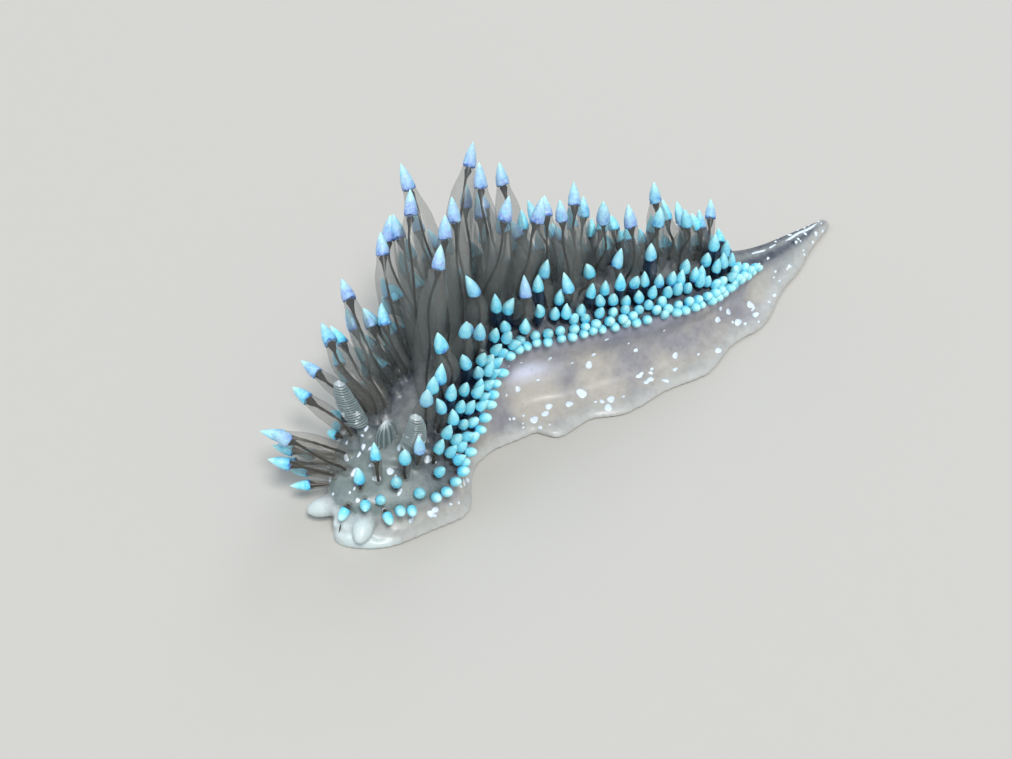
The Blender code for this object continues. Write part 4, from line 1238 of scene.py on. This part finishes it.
def mouth_bag(tree):
    """The line of the mouth: a short upright slit between the lips."""
    start, aim = place(-6, 0, 0), place(2.0, 0, 0)
    run = Vector(aim - start).normalized()
    side = np.array((*spine_frame(0.3)[2], 0))
    hits = []
    for height in np.linspace(MOUTH_HEIGHT - MOUTH_HALF, MOUTH_HEIGHT + MOUTH_HALF, 11):
        hit, normal, _, _ = tree.ray_cast(Vector((start[0], start[1], height)), run)
        if hit is not None:
            hits.append((np.array(hit), np.array(normal)))
    points = []
    for i, (hit, normal) in enumerate(hits):
        wide = 0.06 * math.sin(math.pi * (i + 0.5) / len(hits)) + 0.01
        points += [hit - wide * side + 0.012 * normal, hit + 0.02 * normal, hit + wide * side + 0.012 * normal]
    bag = Bag()
    bag.add(points, *grid(len(hits), 3, closed=False))
    return bag


# Materials


def socket(sockets, key):
    return next(s for s in sockets if s.identifier == key)


class Shade:
    """One material's nodes, from which its colour is mixed step by step."""

    def __init__(self, name):
        self.made = bpy.data.materials.new(name)
        self.made.use_nodes = True
        self.tree = self.made.node_tree
        self.shader = self.tree.nodes["Principled BSDF"]
        self.colour = None

    def put(self, place_in, value):
        """Links a node's output to a socket, or sets the socket to a constant or a colour."""
        if isinstance(value, bpy.types.NodeSocket):
            self.tree.links.new(value, place_in)
        else:
            place_in.default_value = (*value, 1) if isinstance(value, tuple) else value

    def node(self, kind, output, values, **settings):
        """That output of a new node with those settings and values."""
        made = self.tree.nodes.new("ShaderNode" + kind)
        for name, value in settings.items():
            setattr(made, name, value)
        for key, value in values.items():
            self.put(socket(made.inputs, key), value)
        return socket(made.outputs, output)

    def stored(self, name):
        """A value that the mesh keeps per point."""
        return self.node("Attribute", "Fac", {}, attribute_name=name)

    def noise(self, scale, detail, rough, *limits):
        """Noise in the object's own space, spread between limits where they are given."""
        values = {"Scale": scale, "Detail": detail, "Roughness": rough,
                  "Vector": self.node("TexCoord", "Object", {})}
        made = self.node("TexNoise", "Fac", values)
        return self.spread(made, *limits) if limits else made

    def spread(self, value, low, high, to_low=0.0, to_high=1.0):
        return self.node("MapRange", "Result", {
            "Value": value, "From Min": low, "From Max": high, "To Min": to_low, "To Max": to_high})

    def joined(self, operation, first, second):
        return self.node("Math", "Value", {"Value": first, "Value_001": second}, operation=operation)

    def mix(self, share, first, second):
        values = {"Factor_Float": share, "A_Color": first, "B_Color": second}
        return self.node("Mix", "Result_Color", values, data_type="RGBA")

    def tint(self, share, colour, strength=1):
        """Mixes a colour over the material's own, as far as share times strength."""
        if strength < 1:
            share = self.joined("MULTIPLY", share, strength)
        self.colour = self.mix(share, self.colour, colour)

    def bump(self, height, distance, strength=1.0):
        values = {"Height": height, "Distance": distance * MM, "Strength": strength}
        self.put(self.shader.inputs["Normal"], self.node("Bump", "Normal", values))

    def softness(self, weight, depth):
        self.shader.inputs["Subsurface Weight"].default_value = weight
        self.shader.inputs["Subsurface Radius"].default_value = DEPTH_SHARES
        self.shader.inputs["Subsurface Scale"].default_value = depth * MM

    def finish(self, roughness, coat=0, coat_roughness=0.3, alpha=1):
        """The material, with its colour and gloss."""
        values = {"Base Color": self.colour, "Roughness": roughness, "Coat Weight": coat,
                  "Coat Roughness": coat_roughness, "Alpha": alpha, "Metallic": 0}
        for name, value in values.items():
            self.put(self.shader.inputs[name], value)
        return self.made


def body_material():
    s = Shade("slug_skin")
    mottle = s.noise(1200, 5, 0.65, 0.3, 0.7)
    s.colour = s.mix(s.noise(190, 4, 0.55, 0.42, 0.60), FLANK, FLANK_DARK)
    drift = s.noise(330, 3, 0.5, 0, 1, -0.25, 0.25)
    s.tint(s.spread(s.joined("ADD", s.stored("climb"), drift), 0.45, 1.0), LILAC)
    # Painted highlight: a pale lilac-white patch high on the flank, where the light would reflect
    s.tint(s.stored("painted_highlight"), PAINTED_HIGHLIGHT, 0.9)
    s.tint(s.stored("tail"), TAIL, 0.7)
    s.tint(s.stored("head"), HEAD_PALE, 0.6)
    # Painted shade: the back among the cerata is dark navy where shade falls between them; its bare middle and
    # the head's top keep their own colours
    back = s.mix(s.stored("bare"), SHADE_AMONG_CERATA, BACK_BARE)
    s.tint(s.stored("back"), s.mix(s.joined("MULTIPLY", s.stored("head"), 0.9), back, HEAD_TOP))
    ragged = s.spread(mottle, 0, 1, -0.14, 0.14)
    s.tint(s.spread(s.joined("ADD", s.stored("margin"), ragged), 0.3, 1.0), FOOT_PALE)
    s.tint(s.stored("feeler"), FEELER_PALE)
    s.tint(mottle, MOTTLE, 0.16)
    s.tint(s.noise(2600, 2, 0.5, 0.60, 0.72), GRAIN, 0.16)
    s.softness(0.3, 0.7)
    s.bump(s.noise(1000, 6, 0.65), 0.10, 0.6)
    return s.finish(0.42, 0.16, 0.22)


def ceras_material(name, low, high, alpha):
    s = Shade(name)
    lie = s.joined("ADD", s.stored("lie"), s.noise(500, 3, 0.6, 0.3, 0.7, -0.2, 0.2))
    s.colour = s.mix(s.spread(lie, 0.1, 0.9), low, high)
    s.tint(s.stored("warm"), CERAS_WARM, 0.85)
    s.tint(s.noise(2400, 2, 0.5, 0.64, 0.70), CERAS_SPECK, 0.3)
    return s.finish(0.32, 0.2, 0.15, alpha)


def gland_material():
    s = Shade("digestive_gland")
    s.colour = s.mix(s.noise(2200, 4, 0.7, 0.45, 0.75), GLAND, GLAND_PALE)
    s.shader.inputs["Specular IOR Level"].default_value = 0.1
    s.bump(s.noise(1800, 3, 0.6), 0.05)
    return s.finish(0.7)


def cap_material():
    s = Shade("cap_pigment")
    s.colour = s.mix(s.stored("tone"), CAP_SKY, CAP_LILAC)
    lie = s.joined("ADD", s.stored("lie"), s.noise(1500, 5, 0.65, 0.3, 0.7, -0.30, 0.30))
    # The cap's lower edge is deep blue: partly its own colour, partly painted shade
    s.tint(s.spread(lie, 0.0, 0.26, 0.85, 0.0), CAP_DEEP_BLUE_AND_SHADE)
    s.tint(s.spread(lie, 0.25, 1.0), CAP_TIP)
    s.tint(s.noise(2100, 3, 0.6, 0.55, 0.68), CAP_PATCH, 0.45)
    s.tint(s.noise(4200, 3, 0.6, 0.58, 0.68), CAP_GRAIN, 0.5)
    s.softness(0.2, 0.3)
    s.bump(s.noise(3400, 4, 0.7), 0.07)
    return s.finish(0.5, 0.12, 0.2)


def pigment_material():
    s = Shade("white_pigment")
    s.colour = s.mix(s.noise(3000, 3, 0.6, 0.3, 0.7), PIGMENT, PIGMENT_DIM)
    s.bump(s.noise(3000, 3, 0.6), 0.02, 0.5)
    return s.finish(0.4, 0.3, 0.2)


def feeler_material():
    s = Shade("rhinophore_flesh")
    s.colour = s.mix(s.noise(900, 4, 0.6, 0.3, 0.7), CLUB_LOW, CLUB_DARK)
    s.tint(s.stored("edge"), CLUB_EDGE)
    s.tint(s.spread(s.stored("lie"), 0.9, 1.0), CLUB_TIP)
    s.tint(s.noise(1300, 1, 0.4, 0.66, 0.69), PIGMENT, 0.85)
    s.softness(0.3, 0.5)
    return s.finish(0.35, 0.35, 0.15, CLUB_ALPHA)


def dark_material():
    s = Shade("dark_tissue")
    s.colour = s.mix(s.noise(6000, 2, 0.5, 0.3, 0.7), TISSUE, TISSUE_PALE)
    return s.finish(0.25)


def floor_material():
    s = Shade("studio_floor")
    s.colour = FLOOR
    s.tint(s.noise(400, 5, 0.6, 0.3, 0.7), FLOOR_GRAIN, 0.06)
    return s.finish(0.7, 0, 0.03)


# Scene


def towards(azimuth, elevation):
    """Unit vector that points there from the animal, azimuth 0 being its left side and 90 its tail."""
    a, e = math.radians(azimuth), math.radians(elevation)
    return Vector((math.sin(a) * math.cos(e), -math.cos(a) * math.cos(e), math.sin(e)))


def aimed(name, data, azimuth, elevation):
    """A new object that looks at the animal from there."""
    made = new_object(name, data)
    made.rotation_euler = (-towards(azimuth, elevation)).to_track_quat("-Z", "Y").to_euler()
    return made


def camera():
    lens = bpy.data.cameras.new("camera")
    lens.lens = CAMERA_LENS
    lens.clip_start = 1 * MM
    lens.clip_end = 20
    made = aimed("camera", lens, CAMERA_AZIMUTH, CAMERA_ELEVATION)
    made.location = (Vector(CAMERA_AIM) + CAMERA_DISTANCE * towards(CAMERA_AZIMUTH, CAMERA_ELEVATION)) * MM
    bpy.context.scene.camera = made


def studio():
    for name, (azimuth, elevation, energy, angle, colour) in LAMPS.items():
        lamp = bpy.data.lights.new(name, "SUN")
        lamp.energy = energy
        lamp.angle = math.radians(angle)
        lamp.color = colour
        aimed(name, lamp, azimuth, elevation)
    world = bpy.data.worlds.new("studio")
    world.use_nodes = True
    sky = world.node_tree.nodes["Background"].inputs
    sky["Color"].default_value = SKY
    sky["Strength"].default_value = SKY_STRENGTH
    bpy.context.scene.world = world
    corners = ((-1, -1), (1, -1), (1, 1), (-1, 1))
    points = [(x * FLOOR_HALF, y * FLOOR_HALF, -FLOOR_DROP) for x, y in corners]
    floor = raw_object("floor", points, [(0, 1, 2, 3)])
    floor.data.materials.append(floor_material())
    bpy.context.scene.view_settings.view_transform = "Standard"
    bpy.context.scene.cycles.transparent_max_bounces = 64


def finish_piece(piece, slot, *nodes):
    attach(piece, "root")
    if nodes:
        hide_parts(*nodes)


def main():
    camera()
    studio()
    cerata = settled_cerata()
    skin = body_skin(cerata)
    skin.data.materials.clear()
    skin.data.materials.append(body_material())
    tree = tree_of(skin)
    finish_piece(skin, "body", "head", "trunk_front", "trunk_middle", "trunk_rear", "tail", "foot_front",
                 "foot_rear", "oral_tentacle_left", "oral_tentacle_right")
    dice = random.Random(CERAS_SEED)
    pale = [c for c in cerata if c["length"] > LONG_LENGTH or c["station"] < HEAD_END]
    dark = [c for c in cerata if c["length"] <= LONG_LENGTH and c["station"] >= HEAD_END]
    glands, caps = Bag(len(cerata)), Bag(len(cerata))
    clear = ceras_material("ceras_flesh", CERAS_LOW, CERAS_HIGH, CERAS_ALPHA)
    dim = ceras_material("short_ceras_flesh", SHORT_LOW, SHORT_HIGH, SHORT_ALPHA)
    for name, group, shader in (("cerata_flesh", pale, clear), ("short_cerata_flesh", dark, dim)):
        skins = Bag(len(group))
        for ceras in group:
            add_ceras(ceras, dice, skins, glands, caps)
        finish_piece(skins.build(name, shader), "body")
    finish_piece(glands.build("cerata_glands", gland_material()), "body")
    finish_piece(caps.build("cerata_caps", cap_material()), "body")
    finish_piece(pigment_bag(tree).build("pigment_flecks", pigment_material()), "body")
    feelers = feeler_material()
    for name, side in (("left", 1), ("right", -1)):
        finish_piece(rhinophore_bag(side).build("rhinophore_club_" + name, feelers), "rhinophores",
                     "rhinophore_" + name)
    finish_piece(crest_bag().build("crest", feelers), "rhinophores", "caruncle")
    black = dark_material()
    finish_piece(eye_bag(tree).build("eyes", black), "body")
    finish_piece(mouth_bag(tree).build("mouth", black), "body")


main()
